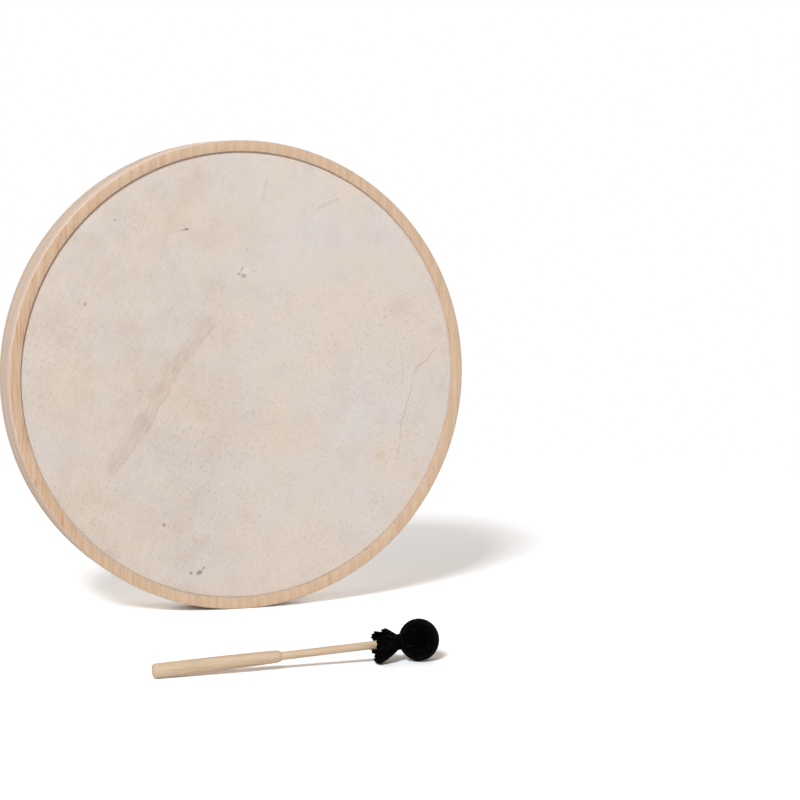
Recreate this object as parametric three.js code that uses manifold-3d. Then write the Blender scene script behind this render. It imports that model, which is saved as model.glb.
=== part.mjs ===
// Shaman drum: a frame drum with a rawhide head tuned from behind, and its padded beater.
// Millimetres, +Z up. The drum stands on its rim, its axis along Y, with the head facing -Y.
// The origin is on the ground, under the middle of the rim's depth.
import * as THREE from 'three';
import { mergeVertices } from 'three/addons/utils/BufferGeometryUtils.js';
import Module from 'manifold-3d';

const wasm = await Module();
wasm.setup();

const FULL_TURN = 2 * Math.PI;
const degrees = THREE.MathUtils.degToRad;

// Clearance between pieces that touch on the real drum
const seat = 0.3;

// Rim: a bent hoop, thick at the back, with a thin wall in front for the tuning ring
const drumRadius = 250;
const drumDepth = 60;
const rimThickness = 16.5;
const frontWallThickness = 3;
const rearOuterRound = 7;
const rearInnerRound = 3.5;
const edgeEase = 0.5;

// Cover ring: an L-shaped hoop that hides the head's edge
const coverFaceWidth = 11.4;
const coverFaceThickness = 3.7;
const coverBandThickness = 2.4;
const coverDepth = 25;
const coverCorner = 1.6;

// Head: one sheet of rawhide, lifted a little by the tuning ring
const headThickness = 0.8;
const headLift = 0.7;

// Tuning ring: floats inside the front wall and presses the head forward
const tuningRingHeight = 15.2;
const tuningRingPlay = 0.6;
const tuningTravel = 1.5;
const tuningGap = 1.9;
const crownInset = 1.8;
const bearingBevel = 6.9;

// Tuning screws, each in a threaded insert behind the tuning ring
const screwCount = 8;
const firstScrewAngle = degrees(-7.8);
const screwRadius = 3;
const screwTipRadius = 1.9;
const screwTipLength = 1.5;
const screwRecess = 2;
const socketAcrossCorners = 3.5;
const socketDepth = 3.5;
const insertRadius = 4;
const insertLength = 15;
const insertRecess = 0.8;
const boreClearance = 0.4;

// Laces: two flat rawhide strips that cross behind the head, knotted inside the rim
const firstLaceAngle = degrees(14.7);
const laceWidth = 6.8;
const laceThickness = 2.4;
const laceCrossingInset = 6;
const laceCrossingGap = 0.6;
const slotMouthInset = 10;
const slotShoulderAngle = degrees(40);
const knotLength = 8.4;
const knotHeight = 8.8;
const knotWidth = 10;
const knotStandOff = 1.6;
const knotOffset = 5.6;
const tailLength = 17;
const tailWidth = 5;
const tailThickness = 1.8;

// Hub and bindings: white cord wound round the crossing and along each arm
const hubRadius = 17.3;
const hubHalfThickness = 8.6;
const hubCord = 1.6;
const hubLoops = 8;
const hubPitch = 2.1;
const hubLoopSteps = 16;
const armCord = 1.2;
const armLoops = 18;
const armBindingGap = 1.8;
const armBindingLength = 45;
const cornerCut = 0.6;

// Beater: a turned grip with a thinner rod, and a felt ball in a tied cloth cover
const gripRadius = 7;
const gripLength = 123;
const gripButtChamfer = 1;
const gripNeckChamfer = 2.2;
const rodRadius = 3.9;
const rodInGrip = 40;
const rodInBall = 6;
const ballRadius = 20.2;
const ballCentre = 259.6;
const coverThickness = 1.7;
const neckRadius = 6.3;
const skirtLength = 25;
const skirtRadius = 15.6;
const skirtThickness = 1.3;
const skirtFolds = 8;
const facetsPerFold = 4;
const foldDepth = 1.6;
const raggedEdge = 2.2;
const raggedWaves = 4;
const tieCord = 1.2;
const tieLoops = 2;
const tiePitch = 1.7;
const beaterPlace = { left: 185, ahead: 336 };

// Facets round each kind of turned piece, and the distance under which corners are one
const rimFacets = 72;
const insertFacets = 16;
const screwFacets = 12;
const gripFacets = 20;
const rodFacets = 14;
const ballFacets = 16;
const ballStep = 15;
const hubFacets = 20;
const knotFacets = 10;
const tieLoopSteps = 10;
const cornerMerge = 1e-3;

// How far a cutting tool runs past the face that it cuts
const overrun = 1;
const slotOverrun = 4;

// Sizes that follow from the ones above; depths are measured back from the drum's front face
const rimInner = drumRadius - rimThickness;
const coverBore = drumRadius - coverFaceWidth;
const bandInner = drumRadius - coverBandThickness;
const frontWallOuter = bandInner - seat;
const frontWallInner = frontWallOuter - frontWallThickness;
const tuningRingOuter = frontWallInner - tuningRingPlay;
const crownOuter = coverBore - crownInset;
const headSeatFront = coverFaceThickness + seat;
const headSeatBack = headSeatFront + headThickness;
const headCrownFront = headSeatFront - headLift;
const headCrownBack = headSeatBack - headLift;
const crownFront = headCrownBack + seat;
const tuningRingBack = crownFront + tuningRingHeight;
const rimLedge = tuningRingBack + tuningGap;
const rimShoulder = coverDepth + seat;
const frontWallEdge = headSeatBack + seat;
const screwCircle = drumRadius - rimThickness / 2;
const insertBack = drumDepth - insertRecess;
const insertFront = insertBack - insertLength;
const screwFront = tuningRingBack + seat;
const screwBack = drumDepth - screwRecess;
const screwBoreFront = screwFront - tuningTravel - seat;
const axisHeight = drumRadius * Math.cos(Math.PI / rimFacets);
const laceLift = seat + laceThickness / 2;
const laceCrossingDepth = drumDepth - laceCrossingInset;
const laceChannel = { thickness: laceThickness + 2 * seat, width: laceWidth + 2 * seat };
const armBindingStart = hubRadius + seat + hubCord + armBindingGap;
const rodBore = rodRadius + seat;

const matt = (color, roughness = 0.6) => new THREE.MeshStandardMaterial({ color, roughness });
const metal = (color, roughness) => new THREE.MeshStandardMaterial({ color, roughness, metalness: 0.9 });
const materials = {
  rim: matt(0xd9b98f),
  cover: matt(0xdebe9b),
  tuning: matt(0xb98f6a),
  head: matt(0xdcd2c6, 0.75),
  lace: matt(0xd9c3a0, 0.55),
  cord: matt(0xdadde1, 0.8),
  stick: matt(0xd8c09a),
  cloth: matt(0x0b0b0c, 0.95),
  felt: matt(0xcfc8ba, 0.95),
  screw: metal(0x2c2723, 0.35),
  insert: metal(0x4a3a2a, 0.4),
};

// A closed mesh with shared vertices, no flat triangles, and its faces pointing out
function weld(geometry) {
  geometry.deleteAttribute('normal');
  geometry.deleteAttribute('uv');
  const merged = mergeVertices(geometry, cornerMerge);
  const position = merged.attributes.position;
  const index = merged.index.array;
  const kept = [];
  let volume = 0;
  const [a, b, c] = [new THREE.Vector3(), new THREE.Vector3(), new THREE.Vector3()];
  for (let i = 0; i < index.length; i += 3) {
    const [p, q, r] = [index[i], index[i + 1], index[i + 2]];
    if (p === q || q === r || r === p) continue;
    a.fromBufferAttribute(position, p);
    b.fromBufferAttribute(position, q);
    c.fromBufferAttribute(position, r);
    volume += a.dot(b.cross(c));
    kept.push(p, q, r);
  }
  if (volume < 0) kept.reverse();
  merged.setIndex(kept);
  return merged;
}

function toSolid(geometry) {
  const welded = weld(geometry);
  const vertProperties = new Float32Array(welded.attributes.position.array);
  const triVerts = new Uint32Array(welded.index.array);
  return new wasm.Manifold(new wasm.Mesh({ numProp: 3, vertProperties, triVerts }));
}

function fromSolid(solid) {
  const mesh = solid.getMesh();
  const geometry = new THREE.BufferGeometry();
  geometry.setAttribute('position', new THREE.BufferAttribute(mesh.vertProperties, 3));
  geometry.setIndex(new THREE.BufferAttribute(mesh.triVerts, 1));
  return geometry;
}

function cut(base, tools) {
  return fromSolid(tools.reduce((solid, tool) => solid.subtract(toSolid(tool)), toSolid(base)));
}

function join(pieces) {
  return fromSolid(pieces.slice(1).reduce((solid, piece) => solid.add(toSolid(piece)), toSolid(pieces[0])));
}

function named(name, geometry, material) {
  const mesh = new THREE.Mesh(weld(geometry), material);
  mesh.name = name;
  return mesh;
}

// Points of a round edge, from one angle to another
function arc(radius, depth, round, from, to, steps) {
  const points = [];
  for (let i = 0; i <= steps; i += 1) {
    const angle = degrees(from + ((to - from) * i) / Math.max(steps, 1));
    points.push([radius + round * Math.cos(angle), depth + round * Math.sin(angle)]);
  }
  return points;
}

// A profile of [radius, depth] points turned round the drum's axis, with a facet at the bottom
function turned(profile, facets = rimFacets) {
  const points = profile.map(([radius, depth]) => new THREE.Vector2(radius, depth - drumDepth / 2));
  return new THREE.LatheGeometry(points, facets, Math.PI / facets);
}

function hoop(profile) {
  return turned([...profile, profile[0]]);
}

// Angles round the drum start at the top and turn clockwise seen from behind
function turnTo(angle) {
  return -(Math.PI / 2 + angle);
}

function turnedTool(geometry, angle) {
  return geometry.applyMatrix4(new THREE.Matrix4().makeRotationY(turnTo(angle)));
}

function at(radius, depth) {
  return new THREE.Vector2(radius, depth - drumDepth / 2);
}

// Side outline of a strip that follows a bent line, mitred at each bend
function stripOutline(line, thickness) {
  const left = [];
  const right = [];
  line.forEach((point, i) => {
    const before = line[Math.max(i - 1, 0)];
    const after = line[Math.min(i + 1, line.length - 1)];
    const into = (i === 0 ? after.clone().sub(point) : point.clone().sub(before)).normalize();
    const out = (i === line.length - 1 ? into.clone() : after.clone().sub(point)).normalize();
    const along = into.clone().add(out).normalize();
    const reach = thickness / 2 / along.dot(into);
    const across = new THREE.Vector2(-along.y, along.x).multiplyScalar(reach);
    left.push(point.clone().add(across));
    right.push(point.clone().sub(across));
  });
  return new THREE.Shape([...left, ...right.reverse()]);
}

function strip(line, thickness, width) {
  const settings = { depth: width, bevelEnabled: false };
  return new THREE.ExtrudeGeometry(stripOutline(line, thickness), settings).translate(0, 0, -width / 2);
}

// One unbroken tube through the given points, closed at both ends
function windTube(points, radius, sides, reference) {
  const positions = [];
  const faces = [];
  points.forEach((point, i) => {
    const before = points[Math.max(i - 1, 0)];
    const after = points[Math.min(i + 1, points.length - 1)];
    const tangent = after.clone().sub(before).normalize();
    const inward = new THREE.Vector3().crossVectors(tangent, reference).normalize();
    const along = new THREE.Vector3().crossVectors(inward, tangent).normalize();
    for (let k = 0; k < sides; k += 1) {
      const angle = (FULL_TURN * (k + 0.5)) / sides;
      const offset = inward.clone().multiplyScalar(radius * Math.cos(angle));
      offset.addScaledVector(along, radius * Math.sin(angle));
      positions.push(...point.clone().add(offset).toArray());
    }
  });
  for (let i = 0; i + 1 < points.length; i += 1) {
    for (let k = 0; k < sides; k += 1) {
      const [a, b] = [i * sides + k, i * sides + ((k + 1) % sides)];
      faces.push(a, b, a + sides, b, b + sides, a + sides);
    }
  }
  const last = (points.length - 1) * sides;
  for (let k = 1; k + 1 < sides; k += 1) {
    faces.push(0, k + 1, k, last, last + k, last + k + 1);
  }
  const geometry = new THREE.BufferGeometry();
  geometry.setAttribute('position', new THREE.Float32BufferAttribute(positions, 3));
  geometry.setIndex(faces);
  return geometry;
}

// Smallest distance between turns of one winding, less the cord itself
function leastGap(points, stepsPerLoop, cord) {
  let least = Infinity;
  for (let i = 0; i < points.length; i += 1) {
    for (let j = i + Math.ceil(stepsPerLoop / 2); j < points.length; j += 1) {
      least = Math.min(least, points[i].distanceTo(points[j]) - cord);
    }
  }
  return least;
}

// A cord wound round local X: section gives one loop's points for a place along X
function winding(name, { section, steps, loops, pitch, start, cord, sides }) {
  const points = [];
  for (let i = 0; i <= loops * steps; i += 1) {
    const x = start + (pitch * i) / steps;
    const [y, z] = section(i % steps, x);
    points.push(new THREE.Vector3(x, y, z));
  }
  const first = points[0].clone().sub(points[1]).normalize();
  const last = points.at(-1).clone().sub(points.at(-2)).normalize();
  points.unshift(points[0].clone().addScaledVector(first, cord));
  points.push(points.at(-1).clone().addScaledVector(last, cord));
  console.log(`${name}: least gap to itself ${leastGap(points, steps, cord).toFixed(2)} mm`);
  return windTube(points, cord / 2, sides, new THREE.Vector3(1, 0, 0));
}

function roundSection(radius, steps, squash = 1) {
  const reach = radius / Math.cos(Math.PI / steps);
  return (step) => {
    const angle = (FULL_TURN * step) / steps;
    return [reach * squash * Math.cos(angle), reach * Math.sin(angle)];
  };
}

function screwAngles() {
  return Array.from({ length: screwCount }, (_, i) => firstScrewAngle + (FULL_TURN * i) / screwCount);
}

// Centre line of a lace's end, from the rim's back face over the shoulder to its slot
const laceArcRadius = rearOuterRound + laceLift;
const shoulderCentre = at(drumRadius - rearOuterRound, drumDepth - rearOuterRound);

function shoulderPoint(angle) {
  return new THREE.Vector2(
    shoulderCentre.x + laceArcRadius * Math.cos(angle),
    shoulderCentre.y + laceArcRadius * Math.sin(angle),
  );
}

const slotOuterPoint = shoulderPoint(slotShoulderAngle);
const slotInnerPoint = at(rimInner, drumDepth - slotMouthInset);
const slotDirection = slotInnerPoint.clone().sub(slotOuterPoint).normalize();
const knotPoint = slotInnerPoint.clone().addScaledVector(slotDirection, knotLength / 2 + knotStandOff);

function laceHalf() {
  const flatInner = at(rimInner + rearInnerRound, drumDepth + laceLift);
  const middleAngle = (slotShoulderAngle + Math.PI / 2) / 2;
  return [flatInner, shoulderPoint(Math.PI / 2), shoulderPoint(middleAngle), slotOuterPoint, knotPoint];
}

function laceCrossing(order) {
  return at(0, laceCrossingDepth + (order * (laceThickness + laceCrossingGap)) / 2);
}

function mirrored(line) {
  return line.map((point) => new THREE.Vector2(-point.x, point.y)).reverse();
}

function laceLine(order) {
  return [...mirrored(laceHalf()), laceCrossing(order), ...laceHalf()];
}

// Rim, with a stepped bore for each screw and insert, and a slot for each lace end
function screwHole(radius, front, facets) {
  const back = drumDepth + overrun;
  const hole = new THREE.CylinderGeometry(radius, radius, back - front, facets);
  return hole.translate(screwCircle, (front + back - drumDepth) / 2, 0);
}

function screwBore(angle) {
  const bore = screwHole(screwRadius + boreClearance, screwBoreFront, screwFacets);
  const pocket = screwHole(insertRadius + seat, insertFront - seat, insertFacets);
  return [turnedTool(bore, angle), turnedTool(pocket, angle)];
}

function laceSlot(angle) {
  const inside = slotInnerPoint.clone().addScaledVector(slotDirection, slotOverrun);
  const outside = slotOuterPoint.clone().addScaledVector(slotDirection, -slotOverrun);
  return turnedTool(strip([inside, outside], laceChannel.thickness, laceChannel.width), angle);
}

function laceAngles() {
  return [0, 1, 2, 3].map((quarter) => firstLaceAngle + (quarter * Math.PI) / 2);
}

function makeRim() {
  const outline = [
    [rimInner, rimLedge],
    [frontWallInner, rimLedge],
    [frontWallInner, frontWallEdge],
    [frontWallOuter, frontWallEdge],
    [frontWallOuter, rimShoulder],
    [drumRadius - edgeEase, rimShoulder],
    [drumRadius, rimShoulder + edgeEase],
    ...arc(drumRadius - rearOuterRound, drumDepth - rearOuterRound, rearOuterRound, 0, 90, 3),
    ...arc(rimInner + rearInnerRound, drumDepth - rearInnerRound, rearInnerRound, 90, 180, 2),
  ];
  const tools = [...screwAngles().flatMap(screwBore), ...laceAngles().map(laceSlot)];
  return named('rim', cut(hoop(outline), tools), materials.rim);
}

function makeCoverRing() {
  const outline = [
    [coverBore, edgeEase],
    [coverBore + edgeEase, 0],
    ...arc(drumRadius - coverCorner, coverCorner, coverCorner, -90, 0, 3),
    [drumRadius, coverDepth - edgeEase],
    [drumRadius - edgeEase, coverDepth],
    [bandInner, coverDepth],
    [bandInner, coverFaceThickness],
    [coverBore, coverFaceThickness],
  ];
  return named('cover_ring', hoop(outline), materials.cover);
}

function makeHead() {
  const outline = [
    [0, headCrownFront],
    [crownOuter, headCrownFront],
    [coverBore - seat, headSeatFront],
    [frontWallOuter, headSeatFront],
    [frontWallOuter, headSeatBack],
    [coverBore - seat, headSeatBack],
    [crownOuter, headCrownBack],
    [0, headCrownBack],
  ];
  return named('drum_head', turned(outline), materials.head);
}

function makeTuningRing() {
  const outline = [
    [rimInner, crownFront + edgeEase],
    [rimInner + edgeEase, crownFront],
    [crownOuter, crownFront],
    [tuningRingOuter, crownFront + bearingBevel],
    [tuningRingOuter, tuningRingBack],
    [rimInner, tuningRingBack],
  ];
  return named('tuning_ring', hoop(outline), materials.tuning);
}

function makeScrew(number, angle) {
  const outline = [
    [0, screwFront],
    [screwTipRadius, screwFront],
    [screwTipRadius, screwFront + screwTipLength],
    [screwRadius, screwFront + screwTipLength],
    [screwRadius, screwBack - edgeEase],
    [screwRadius - edgeEase, screwBack],
    [0, screwBack],
  ];
  const socketRadius = socketAcrossCorners / 2;
  const socket = new THREE.CylinderGeometry(socketRadius, socketRadius, 2 * socketDepth, 6);
  socket.translate(0, screwBack - drumDepth / 2, 0);
  const body = cut(turned(outline, screwFacets), [socket]);
  body.translate(screwCircle, 0, 0);
  const mesh = named(`tuning_screw_${number}`, body, materials.screw);
  mesh.rotation.y = turnTo(angle);
  return mesh;
}

function makeInsert(number, angle) {
  const outline = [
    [screwRadius + seat, insertFront],
    [insertRadius, insertFront],
    [insertRadius, insertBack],
    [screwRadius + seat, insertBack],
    [screwRadius + seat, insertFront],
  ];
  const body = turned(outline, insertFacets);
  body.translate(screwCircle, 0, 0);
  const mesh = named(`threaded_insert_${number}`, body, materials.insert);
  mesh.rotation.y = turnTo(angle);
  return mesh;
}

// The knot and tail at one end of a lace: side puts the knot left or right of the strip
function laceKnot(side, tailAngle) {
  const knot = new THREE.SphereGeometry(1, knotFacets, knotFacets * 0.6);
  knot.scale(knotLength / 2, knotHeight / 2, knotWidth / 2);
  const tail = new THREE.BoxGeometry(tailLength, tailThickness, tailWidth);
  tail.translate(-tailLength / 2, 0, 0);
  tail.rotateY(tailAngle);
  return [knot, tail].map((piece) => {
    piece.rotateZ(slotDirection.angle() - Math.PI);
    return piece.translate(knotPoint.x, knotPoint.y, side * knotOffset);
  });
}

const knots = [
  { side: 1, tail: degrees(-24) },
  { side: -1, tail: degrees(-30) },
  { side: -1, tail: degrees(35) },
  { side: 1, tail: degrees(20) },
];

function makeLace(name, order, angle, nearKnot, farKnot) {
  const nearEnd = laceKnot(nearKnot.side, nearKnot.tail);
  const farEnd = laceKnot(farKnot.side, farKnot.tail).map((piece) => piece.rotateY(Math.PI));
  const body = strip(laceLine(order), laceThickness, laceWidth);
  const mesh = named(name, join([body, ...nearEnd, ...farEnd]), materials.lace);
  mesh.rotation.y = turnTo(angle);
  return mesh;
}

// Inner wraps of the hub, cut where the two laces pass through
function makeHubCore() {
  const core = new THREE.SphereGeometry(1, hubFacets, hubFacets / 2);
  core.scale(hubRadius, hubHalfThickness, hubRadius);
  core.translate(0, laceCrossingDepth - drumDepth / 2, 0);
  const channels = [-1, 1].map((order, i) => {
    const channel = strip(laceLine(order), laceChannel.thickness, laceChannel.width);
    return turnedTool(channel, laceAngles()[i]);
  });
  return named('hub_core', cut(core, channels), materials.cord);
}

// Outer wraps of the hub, wound on a slant between the arms
function makeHubBinding() {
  const lift = hubCord / 2 + seat;
  const section = (step, x) => {
    const shrink = Math.sqrt(1 - (x / hubRadius) ** 2);
    const reach = hubRadius * shrink + lift;
    const squash = (hubHalfThickness * shrink + lift) / reach;
    return roundSection(reach, hubLoopSteps, squash)(step);
  };
  const start = (-hubLoops * hubPitch) / 2;
  const turns = { steps: hubLoopSteps, loops: hubLoops, pitch: hubPitch, start };
  const wound = winding('hub_binding', { section, ...turns, cord: hubCord, sides: 5 });
  const mesh = named('hub_binding', wound, materials.cord);
  mesh.position.y = laceCrossingDepth - drumDepth / 2;
  mesh.rotation.y = turnTo(firstLaceAngle + Math.PI / 4);
  return mesh;
}

// White cord wound along one arm of a lace, from the hub outwards
function makeArmBinding(name, order, angle) {
  const width = laceWidth / 2 + seat + armCord / 2;
  const height = laceThickness / 2 + seat + armCord / 2;
  const corner = [
    [height - cornerCut, width],
    [height, width - cornerCut],
  ];
  const loop = [
    ...corner,
    ...corner.map(([y, z]) => [y, -z]).reverse(),
    ...corner.map(([y, z]) => [-y, -z]),
    ...corner.map(([y, z]) => [-y, z]).reverse(),
  ];
  const crossing = laceCrossing(order);
  const slope = laceHalf()[0].sub(crossing).angle();
  const shape = {
    section: (step) => loop[step],
    steps: loop.length,
    loops: armLoops,
    pitch: armBindingLength / armLoops,
    start: armBindingStart,
    cord: armCord,
    sides: 4,
  };
  const wound = winding(name, shape).rotateZ(slope).translate(0, crossing.y, 0);
  const mesh = named(name, wound, materials.cord);
  mesh.rotation.y = turnTo(angle);
  return mesh;
}

// A profile of [place along the stick, radius] points turned round the beater's axis, local X
function stickTurned(profile, facets) {
  const points = profile.map(([x, radius]) => new THREE.Vector2(radius, x));
  return new THREE.LatheGeometry(points, facets).rotateZ(-Math.PI / 2);
}

function makeGrip() {
  const outline = [
    [0, 0],
    [0, gripRadius - gripButtChamfer],
    [gripButtChamfer, gripRadius],
    [gripLength - gripNeckChamfer, gripRadius],
    [gripLength, gripRadius - gripNeckChamfer],
    [gripLength, rodBore],
    [gripLength - rodInGrip, rodBore],
    [gripLength - rodInGrip, 0],
  ];
  return named('beater_grip', stickTurned(outline, gripFacets), materials.stick);
}

function makeRod() {
  const start = gripLength - rodInGrip + seat;
  const end = ballCentre + rodInBall;
  const outline = [
    [start, 0],
    [start, rodRadius],
    [end, rodRadius],
    [end, 0],
  ];
  return named('beater_rod', stickTurned(outline, rodFacets), materials.stick);
}

// Points of a ball's surface from its far pole to a hole of the given radius
function ballSurface(radius, hole) {
  const mouth = 180 - THREE.MathUtils.radToDeg(Math.asin(hole / radius));
  const whole = Math.floor((mouth - ballStep / 3) / ballStep);
  const round = arc(ballCentre, 0, radius, 0, whole * ballStep, whole);
  return [...round, ...arc(ballCentre, 0, radius, mouth, mouth, 0)];
}

function makeBall() {
  const end = ballCentre + rodInBall + seat;
  const surface = ballSurface(ballRadius - coverThickness - seat, rodBore);
  const outline = [...surface, [end, rodBore], [end, 0]];
  return named('beater_ball', stickTurned(outline, ballFacets), materials.felt);
}

// Cloth cover: round the ball, drawn in at the neck, then a pleated skirt with a ragged edge
function makeCover() {
  const facets = skirtFolds * facetsPerFold;
  const outside = ballSurface(ballRadius, neckRadius);
  const inside = ballSurface(ballRadius - coverThickness, rodBore);
  const neckFront = outside.at(-1)[0];
  const neckBack = neckFront - tieLoops * tiePitch - tieCord;
  const flare = (share, thinner) => ({
    x: neckBack - share * skirtLength,
    radius: neckRadius + (skirtRadius - neckRadius) * Math.sin((share * Math.PI) / 2) - thinner,
    fold: share,
  });
  const plain = ([x, radius]) => ({ x, radius, fold: 0 });
  const rings = [
    ...outside.map(plain),
    { x: neckBack, radius: neckRadius, fold: 0 },
    ...[0.25, 0.5, 0.75, 1].map((share) => flare(share, 0)),
    ...[1, 0.75, 0.5, 0.25].map((share) => flare(share, skirtThickness)),
    { x: neckBack, radius: rodBore, fold: 0 },
    ...inside.reverse().map(plain),
  ];
  const positions = [];
  rings.forEach(({ x, radius, fold }) => {
    for (let k = 0; k < facets; k += 1) {
      const angle = (FULL_TURN * k) / facets;
      const reach = radius + fold * foldDepth * Math.cos(skirtFolds * angle);
      const edge = fold === 1 ? raggedEdge * Math.sin(raggedWaves * angle + 1) : 0;
      positions.push(x + edge, reach * Math.cos(angle), reach * Math.sin(angle));
    }
  });
  const faces = [];
  for (let i = 0; i + 1 < rings.length; i += 1) {
    for (let k = 0; k < facets; k += 1) {
      const [a, b] = [i * facets + k, i * facets + ((k + 1) % facets)];
      faces.push(a, b, a + facets, b, b + facets, a + facets);
    }
  }
  const geometry = new THREE.BufferGeometry();
  geometry.setAttribute('position', new THREE.Float32BufferAttribute(positions, 3));
  geometry.setIndex(faces);
  const cover = named('beater_cover', geometry, materials.cloth);
  cover.userData.neck = { back: neckBack, front: neckFront };
  return cover;
}

function makeTie(neck) {
  const section = roundSection(neckRadius + seat + tieCord / 2, tieLoopSteps);
  const start = (neck.back + neck.front - tieLoops * tiePitch) / 2;
  const turns = { steps: tieLoopSteps, loops: tieLoops, pitch: tiePitch, start };
  const wound = winding('beater_tie', { section, ...turns, cord: tieCord, sides: 4 });
  return named('beater_tie', wound, materials.cloth);
}

const drum = new THREE.Group();
drum.position.z = axisHeight;
drum.add(makeRim(), makeCoverRing(), makeHead(), makeTuningRing());
screwAngles().forEach((angle, i) => drum.add(makeScrew(i + 1, angle), makeInsert(i + 1, angle)));
const [topAngle, rightAngle, bottomAngle, leftAngle] = laceAngles();
drum.add(makeLace('lace_upright', -1, topAngle, knots[0], knots[2]));
drum.add(makeLace('lace_level', 1, rightAngle, knots[1], knots[3]));
drum.add(makeHubCore(), makeHubBinding());
drum.add(makeArmBinding('arm_binding_top', -1, topAngle));
drum.add(makeArmBinding('arm_binding_right', 1, rightAngle));
drum.add(makeArmBinding('arm_binding_bottom', -1, bottomAngle));
drum.add(makeArmBinding('arm_binding_left', 1, leftAngle));

// The beater lies on the ground on its butt and its ball
const beater = new THREE.Group();
const beaterTilt = Math.asin((ballRadius - gripRadius) / (ballCentre - gripButtChamfer));
beater.rotation.y = -beaterTilt;
const beaterY = -(drumDepth / 2 + beaterPlace.ahead);
beater.position.set(-beaterPlace.left, beaterY, ballRadius - ballCentre * Math.sin(beaterTilt));
const beaterCover = makeCover();
beater.add(makeGrip(), makeRod(), makeBall(), beaterCover, makeTie(beaterCover.userData.neck));

const group = new THREE.Group();
group.add(drum, beater);

export default group;
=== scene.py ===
# Shaman drum: a wooden hoop with a rawhide head tuned from behind, and its padded beater.
# The drum stands on its rim with the head towards -Y, its open back towards +Y and the ground at z = 0.
# Sizes are in millimetres, and MM turns them into the scene's metres.
import math
import random

import bpy
from mathutils import Matrix, Vector


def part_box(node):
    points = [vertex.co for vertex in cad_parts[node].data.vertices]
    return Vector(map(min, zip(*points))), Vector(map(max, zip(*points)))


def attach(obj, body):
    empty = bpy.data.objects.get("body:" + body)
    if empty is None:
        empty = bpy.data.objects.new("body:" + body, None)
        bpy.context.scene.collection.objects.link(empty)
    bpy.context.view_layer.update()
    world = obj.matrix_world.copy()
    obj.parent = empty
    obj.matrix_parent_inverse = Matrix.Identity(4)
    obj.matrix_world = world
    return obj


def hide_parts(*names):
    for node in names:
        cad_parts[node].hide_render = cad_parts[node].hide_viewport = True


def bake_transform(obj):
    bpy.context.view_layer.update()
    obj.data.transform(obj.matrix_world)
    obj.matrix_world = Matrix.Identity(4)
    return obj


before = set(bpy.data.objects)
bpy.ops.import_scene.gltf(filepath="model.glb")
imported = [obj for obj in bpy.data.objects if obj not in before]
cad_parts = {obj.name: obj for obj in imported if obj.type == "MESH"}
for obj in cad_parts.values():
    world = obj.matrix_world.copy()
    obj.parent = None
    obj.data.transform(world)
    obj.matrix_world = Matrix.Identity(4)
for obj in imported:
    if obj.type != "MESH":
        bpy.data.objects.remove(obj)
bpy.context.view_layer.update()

MM = 0.001
FULL_TURN = 2 * math.pi
Y_AXIS = Vector((0, 1, 0))
Z_AXIS = Vector((0, 0, 1))

# Drum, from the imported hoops
rim_low, rim_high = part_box("rim")
ring_low, ring_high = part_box("cover_ring")
DRUM_RADIUS = (rim_high.x - rim_low.x) / 2 / MM
DRUM_DEPTH = (rim_high.y - ring_low.y) / MM
COVER_DEPTH = (ring_high.y - ring_low.y) / MM
FRONT = Vector((0, ring_low.y, (rim_low.z + rim_high.z) / 2))
SEAT = 0.3

# Rim and cover ring
RIM_INNER = DRUM_RADIUS - 16.5
REAR_OUTER_ROUND = 7
REAR_INNER_ROUND = 3.5
COVER_BORE = DRUM_RADIUS - 11.4
COVER_FACE_THICKNESS = 3.7
BAND_INNER = DRUM_RADIUS - 2.4
WALL_OUTER = BAND_INNER - SEAT
WALL_INNER = WALL_OUTER - 3
COVER_CORNER = 1.6
EASED_SIZE = 0.5
EASED_CUT = 0.15
HOOP_STEPS = 256

# Head and tuning ring, as depths behind the drum's front face
HEAD_SEAT = COVER_FACE_THICKNESS + SEAT
HEAD_THICKNESS = 0.8
HEAD_CROWN = HEAD_SEAT - 1.2
HEAD_RINGS = 40
HOLLOW_DEPTH = 0.10
PUCKER_DEPTH = 0.07
CROWN_OUTER = COVER_BORE - 1.8
TUNING_OUTER = WALL_INNER - 0.6
TUNING_FRONT = HEAD_CROWN + HEAD_THICKNESS + SEAT
TUNING_BACK = TUNING_FRONT + 15.7
BEARING_BEVEL = 6.9
BEARING_ROUND = 1.2
TUNING_EASED_SIZE = 0.6
TUNING_EASED_CUT = 0.2
RIM_LEDGE = TUNING_BACK + 1.9

# Screws and inserts
SCREW_COUNT = 8
FIRST_SCREW = math.radians(-7.8)
SCREW_CIRCLE = 241.75
SCREW_RADIUS = 3
SCREW_BACK = DRUM_DEPTH - 2
SCREW_FRONT = TUNING_BACK + SEAT
TUNING_TRAVEL = 1.5
SCREW_STEPS = 32
SCREW_TIP_RADIUS = 1.9
SCREW_TIP_LENGTH = 1.5
THREAD_PITCH = 1.0
THREAD_DEPTH = 0.35
BORE_ROOM = 0.4
SOCKET_RADIUS = 1.75
SOCKET_DEPTH = 3.5
INSERT_RADIUS = 4
INSERT_ROOM = 0.15
INSERT_BACK = DRUM_DEPTH - 0.8
INSERT_FRONT = INSERT_BACK - 15

# Laces
FIRST_LACE = math.radians(14.7)
LACE_WIDTH = 6.8
LACE_THICKNESS = 2.2
LACE_CROSSING_DEPTH = DRUM_DEPTH - 6
LACE_CROSSING_GAP = 0.6
SLOT_MOUTH_INSET = 10
SLOT_SHOULDER_ANGLE = 40
KNOT_STAND_OFF = 5
KNOT_SIDE = 3.2
KNOT_RADIUS = 3.4
KNOT_HALF_LENGTH = 5.2
WRAP_WIDTH = 4.2
WRAP_THICKNESS = 1.5
WRAP_TURNS = 1.5
TAIL_WIDTH = 5.2
TAIL_THICKNESS = 1.6

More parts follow.
